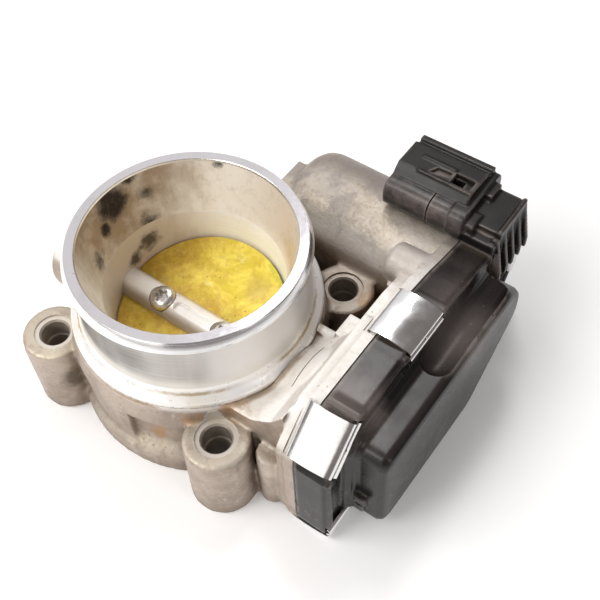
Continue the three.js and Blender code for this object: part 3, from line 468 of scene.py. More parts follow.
def neck_metal():
    """Turned neck: soft upright bands of dark and light grey as painted reflections, a painted dark
    reflection on the front, a painted highlight on the right side, fine tool lines and a few scratches.
    """
    n = Nodes("machined_neck_side")
    x, _, z = n.axes()
    # painted reflections: soft upright bands of dark and light grey
    band = n.noise(95, 3, 0.5, n.stretch((1, 1, 0.12)))
    wide = n.noise(38, 2, 0.5, n.stretch((1, 1, 0.1)))
    color = n.mix(n.step(band, 0.40, 0.60), (0.15, 0.135, 0.125), (0.38, 0.35, 0.325))
    color = n.mix(n.step(wide, 0.48, 0.58, 0, 0.65), color, (0.74, 0.72, 0.69))
    # painted reflection: a dark patch on the front of the neck
    color = n.mix(n.spot((0.004, -0.0290, 0.0425), 0.010, 0.004, 0.95), color, (0.27, 0.25, 0.235))
    # painted light: the right (+X) side of the neck is painted pale
    right = n.step(n.ramp(band, 0.012, x), 0.019, 0.030)
    color = n.over(color, 0.85, right, (0.97, 0.95, 0.92))
    low = n.step(n.ramp(band, 0.004, z), 0.0355, 0.0400, 1, 0)
    color = n.over(color, 0.8, low, (0.86, 0.83, 0.76))
    lines = n.lines(z, 2600, 4)
    color = n.mix(n.step(lines, 0.52, 0.66, 0, 0.25), color, (0.92, 0.91, 0.90))
    nicks = n.specks(260, 0.05, 0.09, 80, 0.55, 0.60, 1, n.stretch((1, 1, 0.5)))
    color = n.over(color, 0.8, nicks, (0.95, 0.95, 0.95))
    scratch = n.cells(70, "DISTANCE_TO_EDGE", n.stretch((1, 0.5, 0.6)))
    scratches = n.times(n.step(scratch, 0.004, 0.012, 1, 0), n.step(n.noise(35, 2), 0.58, 0.62))
    height = n.minus(n.minus(lines, n.times(scratches, 1.5)), nicks)
    rough = n.plus(n.step(lines, 0.3, 0.7, 0.34, 0.46), n.step(band, 0.4, 0.7, 0, 0.08))
    metal = n.ramp(right, -0.35, 0.6)
    return n.done(color, rough, metal, n.bump(height, 0.3, 0.00005))


def machined_metal(name, axis, tint=(0.83, 0.82, 0.815), grime=0.25, rough=0.2, rings=9000, metal=0.95):
    """Turned aluminium: fine tool marks around the axis, light grime and a few scratches."""
    n = Nodes(name)
    x, y, z = n.axes()
    if axis == "Z_side":
        run = z
    else:
        run = n.math("SQRT", n.plus(n.times(x, x), n.times(y, y)))
    marks = n.lines(run, rings, 3)
    patch = n.noise(70, 5, 0.65)
    color = n.mix(n.step(patch, 0.52, 0.72, 0, grime), tint, (0.62, 0.55, 0.44))
    fine = n.noise(700, 5, 0.7)
    color = n.mix(n.step(fine, 0.62, 0.78, 0, 0.35), color, (0.45, 0.41, 0.36))
    roughness = n.plus(n.step(marks, 0.3, 0.7, rough, rough + 0.12), n.step(patch, 0.5, 0.75, 0, 0.12))
    scratch = n.cells(60, "DISTANCE_TO_EDGE", n.stretch((1, 0.22, 1)))
    scratches = n.times(n.step(scratch, 0.004, 0.012, 1, 0), n.step(n.noise(35, 2), 0.55, 0.6))
    height = n.minus(marks, n.times(scratches, 1.5))
    return n.done(color, roughness, metal, n.bump(height, 0.25, 0.00004))


def rim_metal():
    n = Nodes("machined_rim_face")
    patch = n.noise(120, 5, 0.65)
    color = n.mix(n.step(patch, 0.45, 0.7, 0, 0.45), (0.69, 0.67, 0.685), (0.60, 0.575, 0.57))
    pits = n.specks(500, 0.08, 0.14, 150, 0.52, 0.6)
    color = n.over(color, 0.6, pits, (0.40, 0.34, 0.28))
    rough = n.step(n.noise(600, 5, 0.7), 0.3, 0.7, 0.13, 0.19)
    return n.done(color, rough, 0.85, n.bump(n.noise(900, 4, 0.6), 0.2, 0.00008))


def bore_metal():
    """Inlet wall above the machined band: cast texture, oily smudges and an amber stain."""
    n = Nodes("bore_wall_skin")
    x, _, z = n.axes()
    streak = n.noise(85, 5, 0.62, n.stretch((1, 1, 0.35)))
    color = n.mix(n.step(streak, 0.36, 0.64), (0.93, 0.86, 0.77), (1.0, 0.97, 0.90))
    right = n.step(n.ramp(streak, 0.02, x), -0.002, 0.03)
    color = n.over(color, 0.8, right, (0.62, 0.50, 0.36))
    # painted shade: the left (-X) side of the wall is painted brown
    left = n.step(n.ramp(streak, 0.016, x), -0.016, -0.002, 1, 0)
    brown = n.times(left, n.step(n.noise(150, 5, 0.65), 0.3, 0.6, 0.6, 0.95))
    color = n.mix(brown, color, (0.33, 0.225, 0.14))
    amber = n.spot((0.0175, 0.0175, 0.0385), 0.0085, 0.010, 0.9)
    color = n.over(color, 0.6, amber, (0.62, 0.43, 0.20))
    color = n.mix(n.step(n.noise(420, 6, 0.75), 0.48, 0.72, 0, 0.35), color, (0.42, 0.36, 0.30))
    foot = n.step(n.ramp(streak, 0.006, z), 0.0375, 0.0435, 1, 0)
    foot = n.times(foot, n.step(x, -0.019, -0.006, 0, 1))
    color = n.over(color, 0.8, foot, (0.95, 0.90, 0.82))
    marks = (
        ((-0.0253, 0.0006, 0.0478), 0.0064, 0.005, 0.55), ((-0.0248, -0.0038, 0.0435), 0.0028, 0.003, 0.6),
        ((-0.0238, 0.0088, 0.0362), 0.0046, 0.005, 0.7), ((-0.0235, 0.0102, 0.0452), 0.0030, 0.003, 0.95),
        ((-0.0243, 0.0070, 0.0522), 0.0032, 0.003, 0.6), ((-0.0099, 0.0233, 0.0514), 0.0022, 0.003, 0.7),
        ((-0.0225, -0.0110, 0.0395), 0.0036, 0.006, 0.9),
    )
    dark = n.times(n.strongest(marks), n.step(n.noise(900, 5, 0.7), 0.25, 0.5, 0.75, 1))
    color = n.over(color, 0.98, dark, (0.018, 0.009, 0.006))
    rough = n.ramp(dark, 0.35, n.step(n.noise(500, 5, 0.7), 0.3, 0.7, 0.36, 0.55))
    normal = n.bump(n.noise(1100, 5, 0.7), 0.35, 0.00014)
    return n.done(color, rough, n.minus(0.15, n.times(dark, 0.14)), normal)


def band_metal():
    """Machined band around the plate: pale, with fine turning lines and painted shade in brown on the left.
    """
    n = Nodes("machined_bore_band")
    x, _, z = n.axes()
    lines = n.lines(z, 5200, 3)
    patch = n.noise(130, 5, 0.65, n.stretch((1, 1, 0.5)))
    color = n.mix(n.step(patch, 0.4, 0.7), (1.0, 1.0, 1.0), (0.95, 0.93, 0.90))
    # painted shade: the left (-X) side of the band is painted brown
    left = n.step(n.ramp(patch, 0.014, x), -0.016, -0.001, 1, 0)
    color = n.over(color, 0.75, left, (0.48, 0.37, 0.26))
    low = n.step(n.ramp(patch, 0.006, z), 0.0265, 0.032, 1, 0)
    color = n.over(color, 0.2, low, (0.46, 0.36, 0.18))
    soot_and_shade = n.math("MAXIMUM", n.spot((-0.0219, 0.0064, 0.0305), 0.0045, 0.007, 0.7),
                  n.spot((-0.0225, 0.0015, 0.0275), 0.0035, 0.006, 0.8))
    color = n.over(color, 0.9, soot_and_shade, (0.04, 0.028, 0.02))
    rough = n.plus(n.step(lines, 0.3, 0.7, 0.26, 0.4), n.times(left, 0.15))
    return n.done(color, rough, 0.08, n.bump(lines, 0.3, 0.00004))


def stained_ring():
    """Foot of the neck: bright machined step with a cream film and thin brown lines."""
    n = Nodes("stained_ring_skin")
    z = n.axes()["Z"]
    patch = n.noise(75, 5, 0.62)
    color = n.mix(n.step(patch, 0.44, 0.70), (1.0, 0.99, 0.98), (0.96, 0.92, 0.82))
    height = n.ramp(n.minus(n.noise(420, 5, 0.7), 0.5), 0.0011, z)
    crack = n.times(n.step(height, 0.0316, 0.0319), n.step(height, 0.0321, 0.0325, 1, 0))
    color = n.mix(n.times(crack, n.step(patch, 0.42, 0.62, 0.1, 0.75)), color, (0.42, 0.28, 0.12))
    edge = n.step(height, 0.0289, 0.0297, 1, 0)
    crumbs = n.times(edge, n.step(n.noise(700, 6, 0.75), 0.42, 0.58, 0.3, 1))
    color = n.over(color, 0.85, crumbs, (0.26, 0.17, 0.09))
    rough = n.step(n.noise(260, 5, 0.7), 0.3, 0.7, 0.24, 0.42)
    return n.done(color, rough, n.minus(0.3, n.times(crumbs, 0.28)), n.bump(crumbs, 0.35, 0.0002))


def black_plastic(name, tone=0.012, rough=0.34, dust=0.4, change=0.12, sheen_patches=()):
    n = Nodes(name)
    grain = n.noise(2600, 3, 0.6)
    base = n.mix(n.step(n.noise(45, 4, 0.6), 0.4, 0.65), (tone, tone * 0.88, tone * 0.92),
                 (tone * 1.7, tone * 1.42, tone * 1.4))
    settled = n.step(n.upward(), 0.75, 1.0, 0, 0.12 * dust)
    film = n.ramp(n.step(n.noise(120, 6, 0.7), 0.45, 0.75, 0, dust), 0.10, settled)
    color = n.mix(film, base, (0.34, 0.26, 0.23))
    # painted sheen: pale grey-brown patches where the plastic catches the light
    for centre, radius, amount in sheen_patches:
        color = n.over(color, amount, n.spot(centre, radius, 0.004, 0.95), (0.36, 0.30, 0.275))
    worn = n.step(n.cavity(0.0011, 6, True), 0.50, 0.85, 0.5, 0)
    color = n.mix(n.times(worn, n.step(n.noise(240, 5, 0.7), 0.35, 0.6, 0.3, 1)), color, (0.30, 0.25, 0.22))
    specks = n.specks(330, 0.035, 0.075, 60, 0.46, 0.56)
    fine = n.specks(900, 0.04, 0.09, 110, 0.52, 0.62, 0.6)
    specks = n.math("MAXIMUM", specks, fine)
    color = n.over(color, 0.6, specks, (0.40, 0.34, 0.26))
    corner = n.step(n.cavity(0.003), 0.45, 0.8, 1, 0)
    color = n.over(color, 0.35 * dust, corner, (0.26, 0.21, 0.15))
    roughness = n.plus(n.step(n.noise(160, 5, 0.65), 0.35, 0.7, rough, rough + change),
                       n.times(specks, 0.3))
    rubbed = n.noise(520, 3, 0.6, n.stretch((1, 0.05, 0.7)))
    rubbed = n.times(n.step(rubbed, 0.60, 0.72), n.step(n.noise(55, 3), 0.5, 0.62))
    color = n.over(color, 0.22, rubbed, (0.34, 0.25, 0.18))
    return n.done(color, roughness, 0, n.bump(grain, 0.22, 0.00005), Specular_IOR_Level=0.3)


def clip_steel():
    n = Nodes("clip_steel_skin")
    grain = n.noise(260, 4, 0.6, n.stretch((1, 9, 9)))
    color = n.mix(n.step(grain, 0.4, 0.7, 0, 0.3), (0.82, 0.815, 0.81), (0.64, 0.62, 0.60))
    specks = n.specks(700, 0.04, 0.09, 130, 0.5, 0.6)
    color = n.over(color, 0.7, specks, (0.18, 0.15, 0.12))
    rough = n.step(n.noise(140, 4, 0.6), 0.35, 0.7, 0.12, 0.24)
    return n.done(color, rough, 1.0, n.bump(n.noise(70, 2), 0.05, 0.0003))


def chromate():
    """Yellow-passivated plate: green-gold mottling, browner by the shaft and at the far edge."""
    n = Nodes("chromate_plate_skin")
    x, y, _ = n.axes()
    flow = n.noise(95, 7, 0.72, distortion=0.8)
    fine = n.noise(330, 7, 0.75)
    color = n.mix(n.step(flow, 0.38, 0.6), (0.72, 0.56, 0.035), (0.95, 0.77, 0.12))
    color = n.mix(n.step(n.noise(52, 5, 0.65), 0.48, 0.62, 0, 0.75), color, (0.55, 0.57, 0.05))
    color = n.mix(n.step(fine, 0.46, 0.68, 0, 0.55), color, (0.60, 0.40, 0.05))
    color = n.mix(n.step(n.noise(210, 6, 0.7), 0.56, 0.7, 0, 0.6), color, (1.0, 0.88, 0.36))
    away = n.math("ABSOLUTE", n.ramp(flow, 0.008, n.minus(y, 0.0016)))
    near = n.step(away, 0.004, 0.0115, 1, 0)
    left = n.step(n.ramp(flow, 0.012, x), -0.012, 0.004, 1, 0)
    rust = n.math("MAXIMUM", n.times(near, 0.6), n.times(left, 0.65))
    color = n.mix(n.times(rust, n.step(fine, 0.3, 0.6, 0.45, 1)), color, (0.48, 0.22, 0.03))
    dim = n.times(n.spot((0.010, 0.0125, 0.0245), 0.0065, 0.006, 0.9), 0.45)
    color = n.mix(dim, color, (0.40, 0.28, 0.12))
    specks = n.specks(480, 0.06, 0.13, 120, 0.44, 0.58)
    color = n.over(color, 0.75, specks, (0.14, 0.09, 0.02))
    rough = n.step(fine, 0.3, 0.7, 0.4, 0.6)
    return n.done(color, rough, 0.12, n.bump(fine, 0.35, 0.0001))


def valve_steel():
    """Ground shaft: bright on top, with painted shade in brown along both lower edges."""
    n = Nodes("shaft_steel_skin")
    y = n.axes()["Y"]
    patch = n.noise(170, 5, 0.65)
    color = n.mix(n.step(patch, 0.48, 0.72, 0, 0.35), (1.0, 0.98, 0.95), (0.62, 0.55, 0.48))
    # painted shade: both lower sides of the shaft are painted brown, the top stays bright
    low = n.step(n.ramp(patch, 0.0012, y), -0.0056, -0.0034, 0.8, 0)
    color = n.mix(low, color, (0.27, 0.20, 0.14))
    color = n.mix(n.step(n.ramp(patch, 0.0012, y), -0.0002, 0.0018, 0, 0.6), color, (0.38, 0.30, 0.22))
    fine = n.noise(900, 4, 0.65, n.stretch((0.2, 1, 1)))
    return n.done(color, n.step(fine, 0.3, 0.7, 0.16, 0.26), 0.12, n.bump(fine, 0.12, 0.00004))


def plain_metal(name, color, rough, scale=600, streak=(1, 1, 1), dirt=(0.3, 0.26, 0.22), amount=0.4):
    n = Nodes(name)
    patch = n.noise(scale / 4, 5, 0.65)
    shade = n.mix(n.step(patch, 0.48, 0.72, 0, amount), color, dirt)
    fine = n.noise(scale, 4, 0.65, n.stretch(streak))
    return n.done(shade, n.step(fine, 0.3, 0.7, rough, rough + 0.14), 0.95, n.bump(fine, 0.18, 0.00005))


def plain_plastic(name, color, rough, speck=(0.35, 0.3, 0.22)):
    n = Nodes(name)
    patch = n.noise(120, 5, 0.65)
    shade = n.mix(n.step(patch, 0.5, 0.75, 0, 0.35), color, speck)
    fine = n.noise(1500, 3, 0.6)
    return n.done(shade, n.step(patch, 0.3, 0.7, rough, rough + 0.12), 0, n.bump(fine, 0.15, 0.00006))


def winding():
    n = Nodes("enamelled_winding")
    wave = n.add("ShaderNodeTexWave", bands_direction="X")
    wave.inputs["Scale"].default_value = 600
    wave.inputs["Distortion"].default_value = 1.5
    n.link(n.place, wave.inputs["Vector"])
    shade = n.mix(wave.outputs[1], (0.38, 0.13, 0.045), (0.66, 0.30, 0.12))
    return n.done(shade, 0.35, 0.85, n.bump(wave.outputs[1], 0.5, 0.0002))


def board_green():
    n = Nodes("circuit_board_skin")
    trace = n.step(n.cells(180, "DISTANCE_TO_EDGE"), 0.02, 0.05, 1, 0)
    shade = n.mix(trace, (0.018, 0.12, 0.045), (0.05, 0.24, 0.09))
    return n.done(shade, 0.38, 0, n.bump(trace, 0.3, 0.00006))


CAST = cast_metal()
NECK = neck_metal()
RIM = rim_metal()
CHAMFER = machined_metal("machined_chamfer", "radial", (0.9, 0.9, 0.9), 0.12, 0.14)
BORE = bore_metal()
BAND = band_metal()
SPOTFACE = machined_metal("machined_spot_face", "radial", (0.66, 0.61, 0.55), 0.7, 0.36, 5000, 0.4)
HOLE = machined_metal("bolt_hole_wall", "Z_side", (0.36, 0.315, 0.275), 0.7, 0.38, 3000, 0.5)
RING = stained_ring()
# painted sheen on the cover top, the skirt and the trough
COVER_SHEEN = (
    ((0.0510, -0.0120, 0.0430), 0.016, 0.40), ((0.0570, -0.0065, 0.0375), 0.006, 0.50),
    ((0.0600, 0.0250, 0.0345), 0.016, 0.32),
)
COVER = black_plastic("cover_plastic_skin", 0.007, 0.27, 0.4, 0.06, COVER_SHEEN)
GREY_FILM = black_plastic("weathered_plastic_skin", 0.09, 0.5, 0.6)
# painted highlight along the rounded lower edge of the connector
CONNECTOR_EDGE_SHEEN = tuple(((0.026 + 0.004 * i, 0.0478, 0.0432), 0.0045, 0.35) for i in range(6))
CONNECTOR = black_plastic("connector_plastic_skin", 0.0055, 0.28, 0.15, 0.1, CONNECTOR_EDGE_SHEEN)
CLIP = clip_steel()
PLATE = chromate()
SHAFT = valve_steel()
PIN = plain_metal("pin_steel_skin", (0.80, 0.78, 0.75), 0.22, 900, (0.2, 1, 1))
SCREW = plain_metal("screw_steel_skin", (0.74, 0.71, 0.67), 0.22, 900)
BEARING = plain_metal("bearing_steel_skin", (0.55, 0.55, 0.55), 0.22, 800, (6, 1, 1), (0.3, 0.3, 0.3), 0.3)
CAN = plain_metal("motor_can_skin", (0.50, 0.50, 0.51), 0.34, 400, (0.3, 1, 1), (0.28, 0.27, 0.26), 0.4)
BRASS = plain_metal("brass_skin", (0.72, 0.52, 0.20), 0.24, 800, (1, 1, 1), (0.4, 0.26, 0.1), 0.5)
WINDING = winding()
GEAR = plain_plastic("gear_nylon_skin", (0.76, 0.73, 0.64), 0.4)
FERRITE = plain_metal("ferrite_skin", (0.07, 0.07, 0.075), 0.6, 900, (1, 1, 1), (0.12, 0.11, 0.10), 0.6)
RUBBER = plain_plastic("seal_rubber_skin", (0.03, 0.032, 0.036), 0.6, (0.1, 0.09, 0.08))
BOARD = board_green()
PART_BLACK = black_plastic("inner_black_plastic", 0.02, 0.4, 0.1)


# ---------- housing ----------
SHAFT_AT = (-2.4, 21.3)
COLLAR_SEAT = 24.6  # where the casting's bottom face ends and the collar's begins
SCREW_PLACES = (-10, 10)
CLOSED_TILT = 12
PLATE_LEAN = 6
MOTOR_AT = (49.06, 19.8)
HALF = 26.6
GEAR_BOTTOM, GEAR_TOP, GEAR_LEFT = 1.2, 42.5, -25

gear_corners = [(GEAR_LEFT, GEAR_BOTTOM), (MOTOR_AT[0] - 6, GEAR_BOTTOM)]
gear_corners += arc(*MOTOR_AT, 17.4, -65, 95, 20)
gear_corners += [(38, 39.2), (32, 40.9), (22, GEAR_TOP), (-15, GEAR_TOP), (GEAR_LEFT, 33)]
bulge_corners = [(-15.5, 3.8), (12, 2.4), (27, 1.8), (48.2, 21.4), (48.2, 30), (41, 35.5), (-15.5, 35.5)]


def gear_outline(depth):
    return rounded(inset(gear_corners, depth), 2.5 - depth / 2, 4)


def bulge_outline(depth):
    return rounded(inset(bulge_corners, depth), 3.4 - depth / 2, 6)


def radial(shape, angle, x=0, y=0):
    return turned(shape, Matrix.Translation((x, y, 0)) @ Matrix.Rotation(math.radians(angle), 4, "Z"))


end_angle = math.radians(7)
clip_places = [
    (-19.1, 38.6, 136.5),
    (15.3, GEAR_TOP, 90),
    (-17.2, GEAR_BOTTOM, -90),
    (38, GEAR_BOTTOM, -90),
    (MOTOR_AT[0] + 17.4 * math.cos(end_angle), MOTOR_AT[1] + 17.4 * math.sin(end_angle), 7),
]
CLIP_WIDTH = 14.2
JOINT_X = 47.7


def on_edge(shape, place):
    y, z, outward = place
    return turned(shape, Matrix.Translation((0, y, z)) @ Matrix.Rotation(math.radians(outward - 90), 4, "X"))


def ring_of(outline_out, outline_in, span):
    """A closed band between two outlines with the same number of points."""
    n = len(outline_out)
    verts = [(t, y, z) for outline in (outline_out, outline_in) for t in span for y, z in outline]
    faces = []
    for i in range(n):
        j = (i + 1) % n
        faces += [(i, j, j + n, i + n), (i + 2 * n, i + 3 * n, j + 3 * n, j + 2 * n),
                  (i, i + 2 * n, j + 2 * n, j), (i + n, j + n, j + 3 * n, i + 3 * n)]
    return verts, faces


def housing_cast():
    boss_places = [(-HALF, -HALF), (HALF, -HALF), (HALF, HALF), (-HALF, HALF)]
    core = lathe(
        [(0, 0), (34.5, 0), (34.5, 5.8), (33.4, 7), (30.8, 9), (30.2, 19.6), (33.5, 21.4),
         (32.4, 27.8), (31.6, 28.6), (30.4, 29), (0, 29)], 160)
    shapes = [core]
    for x, y in boss_places:
        out = math.degrees(math.atan2(y, x))
        shapes.append(lathe([(0, 0), (8.8, 0), (8.3, 23.9), (0, 23.9)], 64, "Z", (x, y)))
        shapes.append(radial(box((-18, 0), (-5.2, 5.2), (0, 22.4)), out, x, y))
        pad = [(-14, 6), (-5.4, 6), (-5.4, 23), (-8.6, 27.6), (-14, 28.4)]
        shapes.append(radial(prism(pad, (-5.2, 5.2), "Y"), out, x, y))
        shapes.append(radial(box((8, 8.75), (-0.3, 0.3), (1, 22.6)), out + 24, x, y))
    for angle, width in ((162, 3), (198, 3), (108, 3)):
        shapes.append(radial(box((24.8, 33.8), (-width / 2, width / 2), (1, 22)), angle))
    web = arc(0, 0, 32.9, 232, 275, 18) + arc(0, 0, 27, 275, 232, 8)
    shapes.append(prism(web, (3, 24), "Z"))
    shaft_boss = [(0, -43), (8.8, -43), (10.1, -41.8), (10.5, -37), (10.9, -22), (0, -22)]
    shapes.append(lathe(shaft_boss, 64, "X", SHAFT_AT))
    roof = [(18, 0.8), (18, 27.8), (32, 28.6), (38, 33.5), (42, 39.5), (42, 0.8)]
    shapes.append(prism(roof, (-20, 8), "Y"))
    shapes.append(rod(3.6, (0.8, 22), "Z", (38.6, -21.5)))
    shapes.append(box((26, 42), (8, 10.5), (0.8, 30.8)))
    shapes.append(box((36.5, 42), (8, 15), (22, 34)))
    tower = [(0, 22), (10, 26), (10.3, 31), (11, 34), (12.4, 36), (15.2, 39.5), (15.2, 42), (0, 42)]
    shapes.append(lathe(tower, 64, "X", SHAFT_AT))
    shapes.append(lathe(
        [(0, -2), (11.8, -2), (14.3, -1.2), (15.8, 0.6), (16.35, 2.8), (16.4, 5), (16.4, 46), (0, 46)],
        128, "X", MOTOR_AT))
    shapes.append(box((-4.6, 3), (36, 50.6), (26.2, 33)))
    shapes.append(lathe([(0, 35.8), (4.4, 35.8), (5.4, 36.8), (5.5, 46), (0, 46)], 48, "X", (34.6, 34.4)))
    shapes.append(box((4, 42), (24, 42), (3, 17)))
    shapes.append(box((38.5, 42), (28, 42), (16, 33)))
    shapes.append(prism(gear_outline(4.2), (40.8, 46)))
    shaft_side = [(GEAR_LEFT, GEAR_BOTTOM), (14, GEAR_BOTTOM), (14, GEAR_TOP), (-15, GEAR_TOP),
                  (GEAR_LEFT, 33)]
    shapes.append(prism(rounded(inset(shaft_side, 0.7), 2, 4), (42.4, 46)))
    shapes.append(prism(gear_outline(0), (44.9, 49)))
    body = moulded(shapes, 0.5, 6)
    cutters = [
        rod(COLLAR_SEAT, (-2, 60), "Z", (0, 0), 128),
        rod(32.25, (28.4, 60), "Z", (0, 0), 128),
        box((JOINT_X, 60), (-60, 90), (-20, 80)),
        prism(inset(gear_outline(0), 4.8), (44.6, 55)),
        prism(inset(gear_outline(0), 2.6), (46.2, 55)),
        rod(14, (3.4, 55), "X", MOTOR_AT, 64),
        rod(12.6, (36, 55), "X", SHAFT_AT, 64),
        rod(9.8, (27.7, 55), "X", SHAFT_AT, 64),
        rod(4.5, (-44, 55), "X", SHAFT_AT, 32),
        rod(7.2, (-50, -39.5), "X", SHAFT_AT, 64),
        box((-60, 60), (-60, 90), (-5, 0)),
    ]
    for x, y in boss_places:
        cutters.append(rod(5.3, (23.42, 27), "Z", (x, y), 64))
        cutters.append(lathe(
            [(0, -2), (3.3, -2), (3.3, 17.5), (3.65, 17.9), (3.65, 22.9), (4.1, 23.45), (4.1, 24.5),
             (0, 24.5)],
            48, "Z", (x, y)))
    for place in clip_places:
        half = CLIP_WIDTH / 2 + 0.4
        cutters.append(on_edge(box((44.6, 46.4), (-half, half), (-0.7, 3)), place))
    carved(body, cutters)

    def pick(c, nrm):
        index = np.zeros(len(c))
        boss = np.zeros(len(c), bool)
        for x, y in boss_places:
            boss |= np.hypot(c[:, 0] - x, c[:, 1] - y) < 5.35
        index[boss & (c[:, 2] > 0)] = 1
        index[boss & (c[:, 2] > 23.3) & (c[:, 0] > 0) & (c[:, 1] > 0)] = 0
        index[boss & (c[:, 2] > 0) & (c[:, 2] < 23.3)] = 4
        index[(c[:, 0] > JOINT_X - 0.1) | (c[:, 2] < 0.05)] = 3
        return index

    obj = finished(body, "housing_casting", "housing_assembly", [CAST, SPOTFACE, RING, NECK, HOLE], pick)
    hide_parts("housing")


def housing_collar():
    """Turned neck, bead and bore, cut from the same casting."""
    foot = [(31.6, 28.2), (32.0, 28.7), (32.1, 29.3), (32.05, 30.1), (31.7, 30.7), (31.1, 31.1),
            (30.4, 31.6), (29.8, 32.3), (29.35, 33.3), (29.05, 34.6), (28.95, 36.5)]
    bead = [(28.9, 47.5), (29.2, 48.3), (29.8, 48.9), (30, 49.2), (30, 49.6), (29.9, 49.8), (29.05, 51.85),
            (28.9, 52)]
    inner = [(26.62, 52), (26.5, 51.9), (26.35, 51.4), (25.9, 49), (24.6, 42.5), (23.35, 37.6),
             (22.95, 36.6), (22.82, 35.8), (22.8, 0.4), (23.2, 0)]
    outer = [(COLLAR_SEAT, 0), (25.5, 0.6), (25.5, 28.2)]
    body = working([lathe(foot + bead + inner + outer, 224, closed=True)])

    def pick(c, nrm):
        r = np.hypot(c[:, 0], c[:, 1])
        out = (nrm[:, 0] * c[:, 0] + nrm[:, 1] * c[:, 1]) / r
        index = np.zeros(len(c))
        index[(c[:, 2] > 51.93)] = 1
        index[(c[:, 2] > 49.3) & (c[:, 2] < 51.93) & (out > 0.3)] = 2
        index[(c[:, 2] > 51.6) & (out < -0.3)] = 2
        index[(out < 0) & (c[:, 2] < 51.6)] = 3
        index[(out < 0) & (c[:, 2] < 36.7)] = 4
        index[(out > 0) & (c[:, 2] < 33.7)] = 5
        return index

    skins = [NECK, RIM, CHAMFER, BORE, BAND, RING]
    obj = finished(body, "housing_collar", "housing_assembly", skins, pick, 24)
    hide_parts("housing")


# ---------- cover ----------
def rim_lip():
    outer = rounded(inset(gear_corners, 0.8), 2.1, 4)
    inner = rounded(inset(gear_corners, 2.7), 1.2, 4)
    return ring_of(outer, inner, (50, 57.1))


def cover_shell():
    bulge_front = 66.6
    shapes = [
        prism(gear_outline(0.3), (46.4, 55.9)),
        rim_lip(),
        prism(bulge_outline(0), (50, bulge_front - 1.7)),
        prism(bulge_outline(0.35), (60, bulge_front - 0.8)),
        prism(bulge_outline(0.9), (60, bulge_front - 0.3)),
        prism(bulge_outline(1.7), (60, bulge_front)),
        prism(bulge_outline(-2), (50, 57.2)),
        prism(bulge_outline(-1.2), (50, 58)),
        prism(bulge_outline(-0.5), (50, 59)),
    ]
    # raised shoulders that frame the clips
    for place in clip_places[:2]:
        for side in (-1, 1):
            y0 = side * (CLIP_WIDTH / 2 + 1.5)
            shapes.append(on_edge(box((49, 57.5), (y0 - 1, y0 + 1), (-4.8, -0.4)), place))
    # twin locating tabs on the low side of the bulge
    for x, z, width in ((59.6, 9.8, 2.4), (59.2, 13.4, 3.4)):
        shapes.append(box((x, x + width), (-17.4, -14), (z, z + 2.8)))
    shell = moulded(shapes, 0.36, 4)
    bulge_low = [(y, min(z, 33.2)) for y, z in bulge_outline(0)]
    cutters = [
        box((40, JOINT_X + 0.3), (-60, 90), (-20, 80)),
        prism(inset(gear_outline(0), 2.7), (40, 54.7)),
        prism(inset(bulge_low, 2.4), (50, 64.9)),
        capsule_y(61.2, 37.1, 4.5, 14.2, 62),
    ]
    for place in clip_places:
        half = CLIP_WIDTH / 2 + 0.45
        cutters.append(on_edge(box((56, 60), (-half, half), (-5, 3)), place))
        cutters.append(on_edge(box((46, 60), (-half, half), (-0.12, 3)), place))
    for y in (21, 28.6):
        cutters.append(box((64.2, 65.7), (y, y + 5), (34.6, 38)))
    carved(shell, cutters)
    obj = finished(shell, "cover_shell", "housing_assembly", [COVER], None, 40)
    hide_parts("gear_cover")


